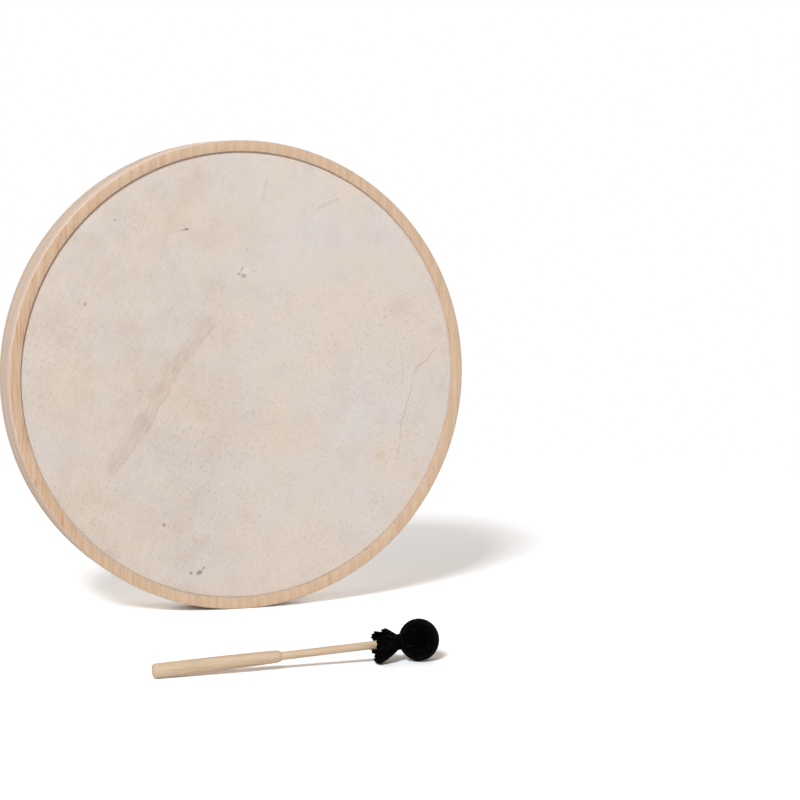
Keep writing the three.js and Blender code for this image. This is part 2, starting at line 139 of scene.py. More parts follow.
# Cord
HUB_RADIUS = 17.3
HUB_CORE_RADIUS = 15.4
HUB_CORE_HEIGHT = 8.2
HUB_CORD = 1.15
SLEEVE_CORD = 1.15
SLEEVE_START = 17.5
SLEEVE_END = 66
SLEEVE_PACKING = 0.94
SLEEVE_SIDE_ROOM = 0.85
SLEEVE_BACK_ROOM = 1.35

# Beater
BUTT = Vector((-185, -366, 0)) * MM
GRIP_RADIUS = 7
GRIP_LENGTH = 123
ROD_RADIUS = 3.9
ROD_IN_GRIP = 40
ROD_IN_BALL = 6
BALL_RADIUS = 20.2
BALL_CENTRE = 259.6
BALL_SQUASH = 0.96
BALL_SHIFT = 1.5
COVER_THICKNESS = 1.7
NECK_RADIUS = 6.8
NECK_LENGTH = 2.6
SKIRT_RADIUS = 21.0
SKIRT_SPREAD = 24.0
SKIRT_RINGS = 18
FOLD_START = 8
CLOTH_THICKNESS = 1.3
TIE_CORD = 1.2


# Objects and modes
def select_only(piece):
    bpy.ops.object.select_all(action="DESELECT")
    piece.select_set(True)
    bpy.context.view_layer.objects.active = piece


def start_editing(piece):
    select_only(piece)
    bpy.ops.object.mode_set(mode="EDIT")


def stop_editing():
    bpy.ops.object.mode_set(mode="OBJECT")


def settle(piece):
    """Puts the piece's place into its mesh, so that its object sits at the origin."""
    select_only(piece)
    bpy.ops.object.transform_apply(location=True, rotation=True, scale=True)


def added(operator, **settings):
    """A new primitive, with its place put into its mesh."""
    bpy.ops.object.select_all(action="DESELECT")
    operator(**settings)
    piece = bpy.context.object
    settle(piece)
    return piece


def face_outwards(piece):
    start_editing(piece)
    bpy.ops.mesh.select_all(action="SELECT")
    bpy.ops.mesh.normals_make_consistent(inside=False)
    stop_editing()


def finished(piece, name, edge_angle=35):
    piece.name = name
    piece.data.name = name
    settle(piece)
    bpy.ops.object.shade_smooth_by_angle(angle=math.radians(edge_angle))
    return piece


def apply_modifier(piece, kind, **settings):
    modifier = piece.modifiers.new("shape", kind)
    for name, value in settings.items():
        setattr(modifier, name, value)
    select_only(piece)
    bpy.ops.object.modifier_apply(modifier=modifier.name)


def subdivide_smoothly(piece, levels):
    apply_modifier(piece, "SUBSURF", levels=levels, render_levels=levels)


def joined(pieces):
    bpy.ops.object.select_all(action="DESELECT")
    for piece in pieces:
        piece.select_set(True)
    bpy.context.view_layer.objects.active = pieces[0]
    bpy.ops.object.join()
    return pieces[0]


def spun(name, profile, steps, base, along, outward):
    """Turns a profile of (radius, place along the axis) points, in millimetres, round an axis."""

    def place(point):
        return base + (outward * point[0] + along * point[1]) * MM

    piece = added(bpy.ops.mesh.primitive_plane_add, size=MM, location=place(profile[0]))
    start_editing(piece)
    bpy.ops.mesh.select_mode(type="VERT")
    bpy.ops.mesh.select_all(action="SELECT")
    bpy.ops.mesh.merge(type="CENTER")
    for before, point in zip(profile, profile[1:]):
        bpy.ops.mesh.extrude_region_move(TRANSFORM_OT_translate={"value": place(point) - place(before)})
    bpy.ops.mesh.select_all(action="SELECT")
    bpy.ops.mesh.spin(steps=steps, angle=FULL_TURN, center=base, axis=along)
    bpy.ops.mesh.select_all(action="SELECT")
    bpy.ops.mesh.remove_doubles(threshold=0.01 * MM)
    bpy.ops.mesh.normals_make_consistent(inside=False)
    stop_editing()
    return finished(piece, name)


def hoop(name, profile):
    """A closed profile turned round the drum, with its glued joint at the bottom."""
    return spun(name, [*profile, profile[0]], HOOP_STEPS, FRONT, Y_AXIS, -Z_AXIS)


def arc(radius, depth, round_radius, start, end, steps):
    """Points of a round edge, from one angle to another in degrees."""
    points = []
    for i in range(steps + 1):
        angle = math.radians(start + (end - start) * i / steps)
        points.append((radius + round_radius * math.cos(angle), depth + round_radius * math.sin(angle)))
    return points


def eased(radius, depth, across, along, size, cut):
    """A slightly rounded corner, from the side that runs along to the side that runs across."""
    return [
        (radius, depth + along * size),
        (radius + across * cut, depth + along * cut),
        (radius + across * size, depth),
    ]


def round_profile(radius, half_length, rings):
    """Half an ellipse, from one pole to the other."""
    turns = [math.pi * i / rings for i in range(1, rings)]
    sides = [(radius * math.sin(turn), -half_length * math.cos(turn)) for turn in turns]
    return [(0, -half_length), *sides, (0, half_length)]


def cut_away(piece, tools):
    """Takes the tools' shapes out of the piece and deletes them."""
    tool = joined(tools)
    apply_modifier(piece, "BOOLEAN", operation="DIFFERENCE", solver="EXACT", object=tool)
    bpy.data.objects.remove(tool)


# Places on the drum: angles run clockwise from the top, seen from behind
def outward_at(angle):
    return Vector((-math.sin(angle), 0, math.cos(angle)))


def sideways_at(angle):
    return Vector((-math.cos(angle), 0, -math.sin(angle)))


def on_drum(angle, radius, depth):
    return FRONT + (outward_at(angle) * radius + Y_AXIS * depth) * MM


def screw_angles():
    return [FIRST_SCREW + FULL_TURN * i / SCREW_COUNT for i in range(SCREW_COUNT)]


def lace_angles():
    return [FIRST_LACE + FULL_TURN * i / 4 for i in range(4)]


# Strips and cords that follow a line
class Line:
    """A line through points, asked for its place and direction by its length."""

    def __init__(self, points):
        self.points = points
        self.lengths = [0.0]
        for before, point in zip(points, points[1:]):
            self.lengths.append(self.lengths[-1] + (point - before).length)

    def place(self, length):
        last = len(self.points) - 2
        i = 0
        while i < last and self.lengths[i + 1] < length:
            i += 1
        span = self.lengths[i + 1] - self.lengths[i]
        share = (length - self.lengths[i]) / span
        return self.points[i].lerp(self.points[i + 1], share)

    def direction(self, length, reach):
        total = self.lengths[-1]
        ahead = self.place(min(length + reach, total))
        behind = self.place(max(length - reach, 0))
        return (ahead - behind).normalized()


CORNER_REACH = 2
CORNER_ROUNDS = 2


def rounded_line(points):
    """Cuts the corners of a line again and again, close to each of them, and keeps its ends."""
    close = [points[0]]
    for before, point, after in zip(points, points[1:], points[2:]):
        for other in (before, after):
            share = min(CORNER_REACH * MM / (other - point).length, 0.5)
            close.append(point.lerp(other, share))
            if other is before:
                close.append(point)
    points = [*close, points[-1]]
    for _ in range(CORNER_ROUNDS):
        softer = [points[0]]
        for before, point in zip(points, points[1:]):
            softer.append(before.lerp(point, 0.25))
            softer.append(before.lerp(point, 0.75))
        softer.append(points[-1])
        points = softer
    return points


def edit_long_edges(piece, length, operator, **settings):
    """Runs an edit on the edges that go along X from end to end."""
    start_editing(piece)
    bpy.ops.mesh.select_all(action="DESELECT")
    bpy.ops.mesh.select_mode(type="EDGE")
    stop_editing()
    corners = piece.data.vertices
    for edge in piece.data.edges:
        first, second = edge.vertices
        edge.select = abs(corners[first].co.x - corners[second].co.x) > length / 2
    start_editing(piece)
    operator(**settings)
    stop_editing()


def straight_strip(name, length, width, thickness, rounding, cuts):
    """A flat bar along X with rounded long edges, cut across so that it can bend."""
    piece = added(bpy.ops.mesh.primitive_cube_add, size=1, scale=(length, width * MM, thickness * MM))
    edit_long_edges(piece, length, bpy.ops.mesh.bevel, offset=rounding * MM, segments=3, affect="EDGES")
    edit_long_edges(piece, length, bpy.ops.mesh.subdivide, number_cuts=cuts)
    piece.name = name
    return piece


def lay_along(piece, line, side, shape=None):
    """Bends a straight strip onto a line; side is the way its width runs, and may turn along it."""
    total = line.lengths[-1]
    for vertex in piece.data.vertices:
        length = vertex.co.x + total / 2
        share = min(max(length / total, 0), 1)
        forward = line.direction(length, 0.8 * MM)
        across = side(share) if callable(side) else side
        across = (across - forward * across.dot(forward)).normalized()
        normal = forward.cross(across)
        wide, thick = shape(share) if shape else (1, 1)
        vertex.co = line.place(length) + across * (vertex.co.y * wide) + normal * (vertex.co.z * thick)
    return piece


def cord_mesh(name, points, diameter):
    """A round cord through the points, as a mesh whose UV runs along it and round it in diameters."""
    curve = bpy.data.curves.new(name, "CURVE")
    curve.dimensions = "3D"
    curve.bevel_depth = diameter * MM / 2
    curve.bevel_resolution = 2
    curve.use_fill_caps = True
    spline = curve.splines.new("POLY")
    spline.points.add(len(points) - 1)
    for spline_point, point in zip(spline.points, points):
        spline_point.co = (*point, 1)
    piece = bpy.data.objects.new(name, curve)
    bpy.context.scene.collection.objects.link(piece)
    select_only(piece)
    bpy.ops.object.convert(target="MESH")
    piece = bpy.context.object
    face_outwards(piece)
    turns = Line(points).lengths[-1] / (diameter * MM)
    for loop in piece.data.uv_layers[0].data:
        loop.uv = (loop.uv[0] * math.pi, loop.uv[1] * turns)
    return finished(piece, name, 60)


# Rim: the bent hoop, thick at the back, with its bores and slots
def rim_profile():
    return [
        (RIM_INNER, RIM_LEDGE),
        (WALL_INNER, RIM_LEDGE),
        (WALL_INNER, HEAD_SEAT + HEAD_THICKNESS + SEAT),
        (WALL_OUTER, HEAD_SEAT + HEAD_THICKNESS + SEAT),
        (WALL_OUTER, COVER_DEPTH + SEAT),
        *reversed(eased(DRUM_RADIUS, COVER_DEPTH + SEAT, -1, 1, EASED_SIZE, EASED_CUT)),
        *arc(DRUM_RADIUS - REAR_OUTER_ROUND, DRUM_DEPTH - REAR_OUTER_ROUND, REAR_OUTER_ROUND, 0, 90, 10),
        *arc(RIM_INNER + REAR_INNER_ROUND, DRUM_DEPTH - REAR_INNER_ROUND, REAR_INNER_ROUND, 90, 180, 7),
    ]


def spun_at_screw(name, profile, steps, angle):
    return spun(name, profile, steps, on_drum(angle, SCREW_CIRCLE, 0), Y_AXIS, outward_at(angle))


def screw_bore(angle):
    """The stepped bore of a screw and its insert, with a small countersink."""
    pocket = INSERT_RADIUS + INSERT_ROOM
    bore = SCREW_RADIUS + BORE_ROOM
    front = SCREW_FRONT - TUNING_TRAVEL - SEAT
    profile = [
        (0, front),
        (bore, front),
        (bore, INSERT_FRONT - SEAT),
        (pocket, INSERT_FRONT - SEAT),
        (pocket, DRUM_DEPTH - 0.5),
        (pocket + 1, DRUM_DEPTH + 0.5),
        (0, DRUM_DEPTH + 0.5),
    ]
    return spun_at_screw("bore", profile, SCREW_STEPS, angle)


def shoulder_point(angle, lift):
    """A place over the rim's rounded back edge, as (radius, depth)."""
    reach = REAR_OUTER_ROUND + lift
    turn = math.radians(angle)
    radius = DRUM_RADIUS - REAR_OUTER_ROUND + reach * math.cos(turn)
    return radius, DRUM_DEPTH - REAR_OUTER_ROUND + reach * math.sin(turn)


LACE_LIFT = SEAT + LACE_THICKNESS / 2
SLOT_OUTER = Vector(shoulder_point(SLOT_SHOULDER_ANGLE, LACE_LIFT))
SLOT_INNER = Vector((RIM_INNER, DRUM_DEPTH - SLOT_MOUTH_INSET))
SLOT_DIRECTION = (SLOT_INNER - SLOT_OUTER).normalized()
KNOT = SLOT_INNER + SLOT_DIRECTION * KNOT_STAND_OFF


def slot_frame(angle):
    """Directions of a lace's slot: along it, sideways and across the strip in it."""
    forward = (outward_at(angle) * SLOT_DIRECTION.x + Y_AXIS * SLOT_DIRECTION.y).normalized()
    across = sideways_at(angle)
    return forward, across, forward.cross(across)


def lace_slot(angle):
    """The slanted slot of a lace end, from the back shoulder to the inner wall."""
    overshoot = SLOT_DIRECTION * 4
    start = SLOT_OUTER - overshoot
    end = SLOT_INNER + overshoot
    middle = (start + end) / 2
    return added(
        bpy.ops.mesh.primitive_cube_add,
        size=1,
        location=on_drum(angle, middle.x, middle.y),
        rotation=Matrix(slot_frame(angle)).transposed().to_euler(),
        scale=((end - start).length * MM, (LACE_WIDTH + 2 * SEAT) * MM, (LACE_THICKNESS + 3 * SEAT) * MM),
    )


def make_rim():
    rim = hoop("hoop_rim", rim_profile())
    cut_away(rim, [*map(screw_bore, screw_angles()), *map(lace_slot, lace_angles())])
    return finished(rim, "hoop_rim")


def make_cover_ring():
    profile = [
        (COVER_BORE, COVER_FACE_THICKNESS),
        *eased(COVER_BORE, 0, 1, 1, EASED_SIZE, EASED_CUT),
        *arc(DRUM_RADIUS - COVER_CORNER, COVER_CORNER, COVER_CORNER, -90, 0, 6),
        *eased(DRUM_RADIUS, COVER_DEPTH, -1, -1, EASED_SIZE, EASED_CUT),
        (BAND_INNER, COVER_DEPTH),
        (BAND_INNER, COVER_FACE_THICKNESS),
    ]
    return hoop("front_cover_ring", profile)


def make_tuning_ring():
    profile = [
        (RIM_INNER, TUNING_BACK - TUNING_EASED_SIZE),
        *eased(RIM_INNER, TUNING_FRONT, 1, 1, TUNING_EASED_SIZE, TUNING_EASED_CUT),
        *arc(CROWN_OUTER - BEARING_ROUND, TUNING_FRONT + BEARING_ROUND, BEARING_ROUND, -90, -45, 4),
        (TUNING_OUTER, TUNING_FRONT + BEARING_BEVEL),
        (TUNING_OUTER, TUNING_BACK),
        (RIM_INNER + TUNING_EASED_SIZE, TUNING_BACK),
        (RIM_INNER + TUNING_EASED_CUT, TUNING_BACK - TUNING_EASED_CUT),
    ]
    return hoop("bearing_ring", profile)


# Head: one sheet of rawhide, raised a little by the tuning ring, its edge clamped under the cover ring
def make_head():
    flat = [CROWN_OUTER * i / HEAD_RINGS for i in range(HEAD_RINGS + 1)]
    slope = [CROWN_OUTER + (COVER_BORE - CROWN_OUTER) * i / 4 for i in range(1, 5)]
    radii = [*flat, *slope, (COVER_BORE + WALL_OUTER) / 2, WALL_OUTER - 0.2]

    def crown(radius):
        share = min(max((radius - CROWN_OUTER + 0.6) / (COVER_BORE - CROWN_OUTER), 0), 1)
        return HEAD_CROWN + (HEAD_SEAT - HEAD_CROWN) * share * share * (3 - 2 * share)

    front = [(radius, crown(radius)) for radius in radii]
    back = [(radius, depth + HEAD_THICKNESS) for radius, depth in reversed(front)]
    head = spun("rawhide_head", [*front, *back], HOOP_STEPS, FRONT, Y_AXIS, -Z_AXIS)
    for vertex in head.data.vertices:
        place = (vertex.co - FRONT) / MM
        vertex.co.y += head_wave(place.x, place.z) * MM
    return finished(head, "rawhide_head", 60)


def head_wave(x, height):
    """How far the skin lies off its plane: faint hollows and puckers that die out at the edge."""
    radius = math.hypot(x, height)
    angle = math.atan2(x, height)
    edge = max(0, 1 - (radius / (CROWN_OUTER - 2)) ** 8)
    hollow = HOLLOW_DEPTH * math.sin(x / 41 + 0.7) * math.sin(height / 53 + 1.9)
    pucker = PUCKER_DEPTH * math.sin(17 * angle + 1.3 * math.sin(5 * angle)) * (radius / CROWN_OUTER) ** 6
    return (hollow + pucker) * edge


# Tuning screw with a hexagon socket, and its insert
def make_screw(number, angle):
    thread_start = SCREW_FRONT + SCREW_TIP_LENGTH
    thread_root = SCREW_RADIUS - THREAD_DEPTH
    profile = [
        (0, SCREW_FRONT),
        (SCREW_TIP_RADIUS - 0.3, SCREW_FRONT),
        (SCREW_TIP_RADIUS, SCREW_FRONT + 0.3),
        (SCREW_TIP_RADIUS, thread_start),
        (thread_root, thread_start + 0.3),
    ]
    turns = int((SCREW_BACK - thread_start - 1.2) / THREAD_PITCH)
    for i in range(turns):
        depth = thread_start + 0.5 + i * THREAD_PITCH
        profile += [(thread_root, depth), (SCREW_RADIUS, depth + 0.35), (SCREW_RADIUS, depth + 0.55)]
    profile += [
        (SCREW_RADIUS - 0.1, SCREW_BACK - 0.45),
        (SCREW_RADIUS - 0.5, SCREW_BACK),
        (0, SCREW_BACK),
    ]
    screw = spun_at_screw("screw", profile, SCREW_STEPS, angle)
    socket = added(
        bpy.ops.mesh.primitive_cylinder_add,
        vertices=6,
        radius=SOCKET_RADIUS * MM,
        depth=2 * SOCKET_DEPTH * MM,
        location=on_drum(angle, SCREW_CIRCLE, SCREW_BACK),
        rotation=(math.pi / 2, angle + number, 0),
    )
    cut_away(screw, [socket])
    return finished(screw, f"grub_screw_{number}")


def make_insert(number, angle):
    inner = SCREW_RADIUS + INSERT_ROOM
    profile = [
        (inner, INSERT_FRONT),
        (INSERT_RADIUS, INSERT_FRONT),
        (INSERT_RADIUS, INSERT_BACK - 0.25),
        (INSERT_RADIUS - 0.08, INSERT_BACK - 0.08),
        (INSERT_RADIUS - 0.25, INSERT_BACK),
        (inner + 0.3, INSERT_BACK),
        (inner + 0.08, INSERT_BACK - 0.1),
        (inner, INSERT_BACK - 0.35),
        (inner, INSERT_FRONT),
    ]
    return spun_at_screw(f"bronze_insert_{number}", profile, 40, angle)


# Laces: a flat strip over the whole back, knotted inside the rim at both ends
def lace_half():
    """Middle line of half a lace from the crossing outwards, as (radius, depth)."""
    inner_edge = (RIM_INNER + REAR_INNER_ROUND - 1, DRUM_DEPTH + LACE_LIFT - 0.15)
    over_edge = [shoulder_point(angle, LACE_LIFT) for angle in range(90, SLOT_SHOULDER_ANGLE - 1, -10)]
    return [inner_edge, *over_edge, tuple(SLOT_INNER), tuple(KNOT)]


def crossing_depth(order):
    """Depth of a lace's middle line at the crossing; order is -1 for the inner lace, 1 for the outer."""
    return LACE_CROSSING_DEPTH + order * (LACE_THICKNESS + LACE_CROSSING_GAP) / 2


def lace_line(order, angle):
    half = lace_half()
    far = [on_drum(angle + math.pi, radius, depth) for radius, depth in reversed(half)]
    near = [on_drum(angle, radius, depth) for radius, depth in half]
    middle = [on_drum(angle, radius, crossing_depth(order) + 0.3) for radius in (-30, -10, 10, 30)]
    return Line([*far[:1], *rounded_line([*far[1:], *middle, *near[:-1]]), *near[-1:]])


def lace_shape(seed):
    """Uneven width and thickness of a cut hide strip, by share of its length."""
    phase = random.Random(seed).uniform(0, FULL_TURN)

    def shape(share):
        wide = 1 + 0.035 * math.sin(19 * share + phase) + 0.02 * math.sin(53 * share + 2 * phase)
        thick = 1 + 0.05 * math.sin(31 * share + phase)
        return wide, thick

    return shape


def knot_frame(angle):
    """The middle of a lace's knot and its three directions: along the slot, sideways and out of the knot."""
    return on_drum(angle, KNOT.x, KNOT.y), *slot_frame(angle)


def knot_lump(name, angle, side):
    """The tied body of the knot, which lies half under the lace and half beside it."""
    centre, forward, across, normal = knot_frame(angle)
    middle = centre + across * (side * KNOT_SIDE * MM)
    lump = spun(name, round_profile(KNOT_RADIUS, KNOT_HALF_LENGTH, 12), 24, middle, across, normal)
    for vertex in lump.data.vertices:
        offset = (vertex.co - middle) / MM
        ridge = 1 + 0.10 * math.sin(1.6 * offset.dot(across) + 2 * offset.dot(forward) + 3 * side)
        vertex.co = middle + offset * ridge * MM
    return lump


def knot_wrap(name, angle, side):
    """The strip wound one and a half times round the knot."""
    centre, forward, across, normal = knot_frame(angle)
    steps = 36
    points = []
    for i in range(steps + 1):
        turn = FULL_TURN * WRAP_TURNS * i / steps
        lift = KNOT_RADIUS + 0.9 * i / steps
        reach = across * (side * KNOT_SIDE + (lift + 1.6) * math.cos(turn)) + normal * (lift * math.sin(turn))
        points.append(centre + (reach + forward * ((2 * i / steps - 1) * 1.6)) * MM)
    line = Line(points)
    wrap = straight_strip(name, line.lengths[-1], WRAP_WIDTH, WRAP_THICKNESS, 0.5, 60)
    return lay_along(wrap, line, forward)


def knot_tail(name, angle, side, lean, twist):
    """The free end of the lace, which points back along the lace from beside its knot."""
    start, forward, across, normal = knot_frame(angle)
    steer = across * (side * math.sin(lean)) + forward * math.cos(lean)
    points = [start + (across * side - forward * 2 + normal * 1.5) * MM]
    for beside, behind, above in ((3.2, 0, 2.4), (4.6, 4, 1.6), (4.8, 11, 0.6), (4.8, 19, 1.4)):
        points.append(start + (across * side * beside + steer * behind + normal * above) * MM)
    line = Line(rounded_line(points))
    tail = straight_strip(name, line.lengths[-1], TAIL_WIDTH, TAIL_THICKNESS, 0.5, 40)

    def across_at(share):
        turn = twist * share
        return across * math.cos(turn) + normal * math.sin(turn)

    def shape(share):
        return 0.85 + 0.25 * math.sin(math.pi * min(share * 1.1, 1)), 1

    return lay_along(tail, line, across_at, shape)


# Knots, clockwise from the top: side of the lace, lean of the tail in degrees and its twist
KNOTS = [(1, 24, 0.5), (-1, 12, -0.5), (-1, 35, 0.7), (1, 20, -0.6)]


def make_lace(name, order, near):
    angle = lace_angles()[near]
    line = lace_line(order, angle)
    strip = straight_strip(name, line.lengths[-1], LACE_WIDTH, LACE_THICKNESS, 0.7, 260)
    lay_along(strip, line, sideways_at(angle), lace_shape(near))
    ends = []
    for end in (near, near + 2):
        side, lean, twist = KNOTS[end]
        ends.append(knot_lump("lump", lace_angles()[end], side))
        ends.append(knot_wrap("wrap", lace_angles()[end], side))
        ends.append(knot_tail("tail", lace_angles()[end], side, math.radians(lean), twist))
    lace = joined([strip, *ends])
    face_outwards(lace)
    return finished(lace, name, 50)


# Hub: inner wraps of cord, and outer loops wound on a slant between the arms
HUB_CENTRE = on_drum(0, 0, LACE_CROSSING_DEPTH)
HUB_AXIS = outward_at(FIRST_LACE + math.pi / 4)
HUB_STRAND = outward_at(FIRST_LACE - math.pi / 4)


def signed_power(value, power):
    return math.copysign(abs(value) ** power, value)


def wound(loops, steps, slack, seed, place):
    """Points of an unbroken winding; place gets the share of its length, the turn and the loop's slip."""
    chance = random.Random(seed)
    points = []
    for i in range(loops * steps + 1):
        if i % steps == 0:
            slip = chance.uniform(-slack, slack)
        points.append(place(i / (loops * steps), FULL_TURN * (i % steps) / steps, slip))
    return points


def hub_loops(loops, start, end, reach, height, tilt, seed):
    """A winding over the crossing, on a rounded square with its corners on the arms."""

    def place(share, turn, slip):
        along = start + (end - start) * share
        turn += 0.2
        dome = math.sqrt(max(0, 1 - (along / (HUB_RADIUS + 3.5)) ** 2))
        strand = reach * (0.82 + 0.18 * dome) * signed_power(math.cos(turn), 0.8)
        thick = height * dome * signed_power(math.sin(turn), 0.75)
        drift = along + tilt * strand + slip * math.sin(turn)
        return HUB_CENTRE + (HUB_AXIS * drift + HUB_STRAND * strand + Y_AXIS * thick) * MM

    return wound(loops, steps=28, slack=0.28, seed=seed, place=place)


def make_hub_binding():
    dome = hub_loops(loops=25, start=-15.2, end=11.2, reach=16.2, height=9.4, tilt=0.03, seed=5)
    slanted = hub_loops(loops=6, start=-11.5, end=-5.0, reach=15.8, height=9.7, tilt=-0.13, seed=9)
    edge = hub_loops(loops=4, start=11.6, end=16.0, reach=15.8, height=8.3, tilt=0.03, seed=8)
    cords = [cord_mesh("winding", points, HUB_CORD) for points in (dome, slanted, edge)]
    return finished(joined(cords), "hub_cord", 60)


def make_hub_core():
    """The inner wraps, a domed body under the outer loops."""
    profile = round_profile(HUB_CORE_RADIUS, HUB_CORE_HEIGHT, 14)
    core = spun("hub_inner_wraps", profile, 64, HUB_CENTRE, Y_AXIS, HUB_AXIS)
    return finished(core, "hub_inner_wraps", 60)


# Sleeves: cord wound close along each arm
def sleeve_swell(share, bulge_at, bulge, seed):
    unevenness = 0.18 * math.sin(23 * share + seed) + 0.10 * math.sin(51 * share + 2 * seed)
    return unevenness + bulge * math.exp(-(((share - bulge_at) / 0.13) ** 2))


def make_sleeve(name, order, angle, bulge_at, bulge, seed):
    base = on_drum(angle, 0, crossing_depth(order))
    forward = (on_drum(angle, *lace_half()[0]) - base).normalized()
    across = sideways_at(angle)
    normal = forward.cross(across)
    loops = int((SLEEVE_END - SLEEVE_START) / (SLEEVE_CORD * SLEEVE_PACKING))

    def place(share, turn, slip):
        swell = sleeve_swell(share, bulge_at, bulge, seed)
        wide = (LACE_WIDTH / 2 + SLEEVE_SIDE_ROOM + swell) * signed_power(math.cos(turn), 0.72)
        thick = (LACE_THICKNESS / 2 + SLEEVE_BACK_ROOM + swell) * signed_power(math.sin(turn), 0.8)
        drift = SLEEVE_START + (SLEEVE_END - SLEEVE_START) * share + slip * math.sin(turn)
        return base + (forward * drift + across * wide + normal * thick) * MM

    points = wound(loops, steps=16, slack=0.09, seed=seed, place=place)
    return cord_mesh(name, points, SLEEVE_CORD)


# Beater: places along the stick from its butt
BEATER_TILT = math.asin((BALL_RADIUS - GRIP_RADIUS) / (BALL_CENTRE - 1))
STICK = Vector((math.cos(BEATER_TILT), 0, math.sin(BEATER_TILT)))
STICK_UP = Vector((-math.sin(BEATER_TILT), 0, math.cos(BEATER_TILT)))
STICK_START = BUTT + Z_AXIS * (BALL_RADIUS - BALL_CENTRE * math.sin(BEATER_TILT)) * MM
NECK_FRONT = BALL_CENTRE + BALL_SHIFT - BALL_SQUASH * math.sqrt(BALL_RADIUS**2 - NECK_RADIUS**2)
NECK_BACK = NECK_FRONT - NECK_LENGTH


def on_stick(along, radius=0, angle=0):
    out = STICK_UP * math.cos(angle) + Y_AXIS * math.sin(angle)
    return STICK_START + (STICK * along + out * radius) * MM


def turned(name, profile, steps):
    return spun(name, profile, steps, STICK_START, STICK, STICK_UP)


# The grip's outline, each point as how far in it lies and where: from the butt, by share, before the end
GRIP_BUTT = [(2.2, 0), (1.2, 0.25), (0.4, 0.9), (0, 1.9)]
GRIP_SIDE = [(0, 0.25), (0.2, 0.5), (0.5, 0.75)]
GRIP_NECK = [(0.9, 10), (1.2, 4), (1.6, 1.6), (2.2, 0.4), (2.6, 0)]


def make_grip():
    profile = [
        (0, 0),
        *[(GRIP_RADIUS - inset, along) for inset, along in GRIP_BUTT],
        *[(GRIP_RADIUS - inset, GRIP_LENGTH * share) for inset, share in GRIP_SIDE],
        *[(GRIP_RADIUS - inset, GRIP_LENGTH - before) for inset, before in GRIP_NECK],
        (ROD_RADIUS + 0.15, GRIP_LENGTH),
        (ROD_RADIUS + 0.15, GRIP_LENGTH - ROD_IN_GRIP),
        (0, GRIP_LENGTH - ROD_IN_GRIP),
    ]
    return turned("turned_grip", profile, 64)


def make_rod():
    start = GRIP_LENGTH - ROD_IN_GRIP + SEAT
    end = BALL_CENTRE + ROD_IN_BALL
    profile = [(0, start), (ROD_RADIUS - 0.4, start), (ROD_RADIUS, start + 0.4)]
    for i in range(1, 12):
        profile.append((ROD_RADIUS, start + (end - start) * i / 12))
    profile += [(ROD_RADIUS, end - 0.4), (ROD_RADIUS - 0.4, end), (0, end)]
    return turned("turned_rod", profile, 48)


def ball_profile(radius, hole, steps):
    """Points of a slightly flattened ball from its far pole to the hole round the rod."""
    mouth = math.pi - math.asin(hole / radius)
    middle = BALL_CENTRE + BALL_SHIFT
    points = [(0, middle + BALL_SQUASH * radius)]
    for i in range(1, steps + 1):
        turn = mouth * i / steps
        points.append((radius * math.sin(turn), middle + BALL_SQUASH * radius * math.cos(turn)))
    return points


def make_ball():
    end = BALL_CENTRE + ROD_IN_BALL + SEAT
    profile = ball_profile(BALL_RADIUS - COVER_THICKNESS - SEAT, ROD_RADIUS + SEAT, 24)
    profile += [(ROD_RADIUS + SEAT, end), (0, end)]
    return turned("felt_ball", profile, 48)


# Flaps of the skirt's cut edge: where each begins, in degrees from the top over the back, and its length
SKIRT_FLAPS = [
    (-52, 13.5), (-18, 12.5), (10, 13.2), (48, 19.5), (66, 21.0),
    (84, 20.0), (100, 22.5), (128, 20.5), (150, 23.0), (176, 24.5),
    (204, 25.0), (228, 26.5), (250, 28.5), (280, 27.5), (300, 22.0),
]


def skirt_length(angle):
    """Length of the skirt at an angle, with a few threads more or less."""
    turn = (math.degrees(angle) - SKIRT_FLAPS[0][0]) % 360 + SKIRT_FLAPS[0][0]
    length = [flap[1] for flap in SKIRT_FLAPS if flap[0] <= turn][-1]
    return length + 0.5 * math.sin(29 * angle) + 0.4 * math.sin(47 * angle + 1)


def skirt_place(share, angle):
    """A place on the skirt: it opens like a cone, its folds deepen, and the ground holds it up."""
    behind = share * skirt_length(angle)
    opened = behind / SKIRT_SPREAD
    cone = opened / (1 + opened**4) ** 0.25
    depth = min(behind / FOLD_START, 1)
    fold = depth * (0.8 * math.sin(11 * angle + 0.8 * math.sin(2 * angle)) + 0.4 * math.sin(23 * angle))
    place = on_stick(NECK_BACK - behind, NECK_RADIUS + (SKIRT_RADIUS - NECK_RADIUS) * cone + fold, angle)
    place.z = max(place.z, (1.0 + 0.5 * math.sin(9 * angle)) * MM)
    return place


def make_cover():
    """Cloth round the ball, drawn in at the neck, with a pleated skirt cut in uneven flaps."""
    profile = ball_profile(BALL_RADIUS, NECK_RADIUS, 30)
    profile.append((NECK_RADIUS - 0.3, (NECK_FRONT + NECK_BACK) / 2))
    profile += [(NECK_RADIUS, NECK_BACK - i) for i in range(SKIRT_RINGS + 1)]
    cover = turned("cloth_cover", profile, 144)
    for vertex in cover.data.vertices:
        offset = (vertex.co - STICK_START) / MM
        along = offset.dot(STICK)
        out = offset - STICK * along
        angle = math.atan2(out.dot(Y_AXIS), out.dot(STICK_UP))
        if along < NECK_BACK - 0.01:
            vertex.co = skirt_place((NECK_BACK - along) / SKIRT_RINGS, angle)
        elif along < BALL_CENTRE:
            gather = ((BALL_CENTRE - along) / BALL_RADIUS) ** 6
            crease = 0.55 * gather * math.sin(21 * angle + 1.5 * math.sin(3 * angle))
            vertex.co += (out.normalized() * crease) * MM
    apply_modifier(cover, "SOLIDIFY", thickness=CLOTH_THICKNESS * MM, offset=-1)
    subdivide_smoothly(cover, 1)
    return finished(cover, "cloth_cover", 60)


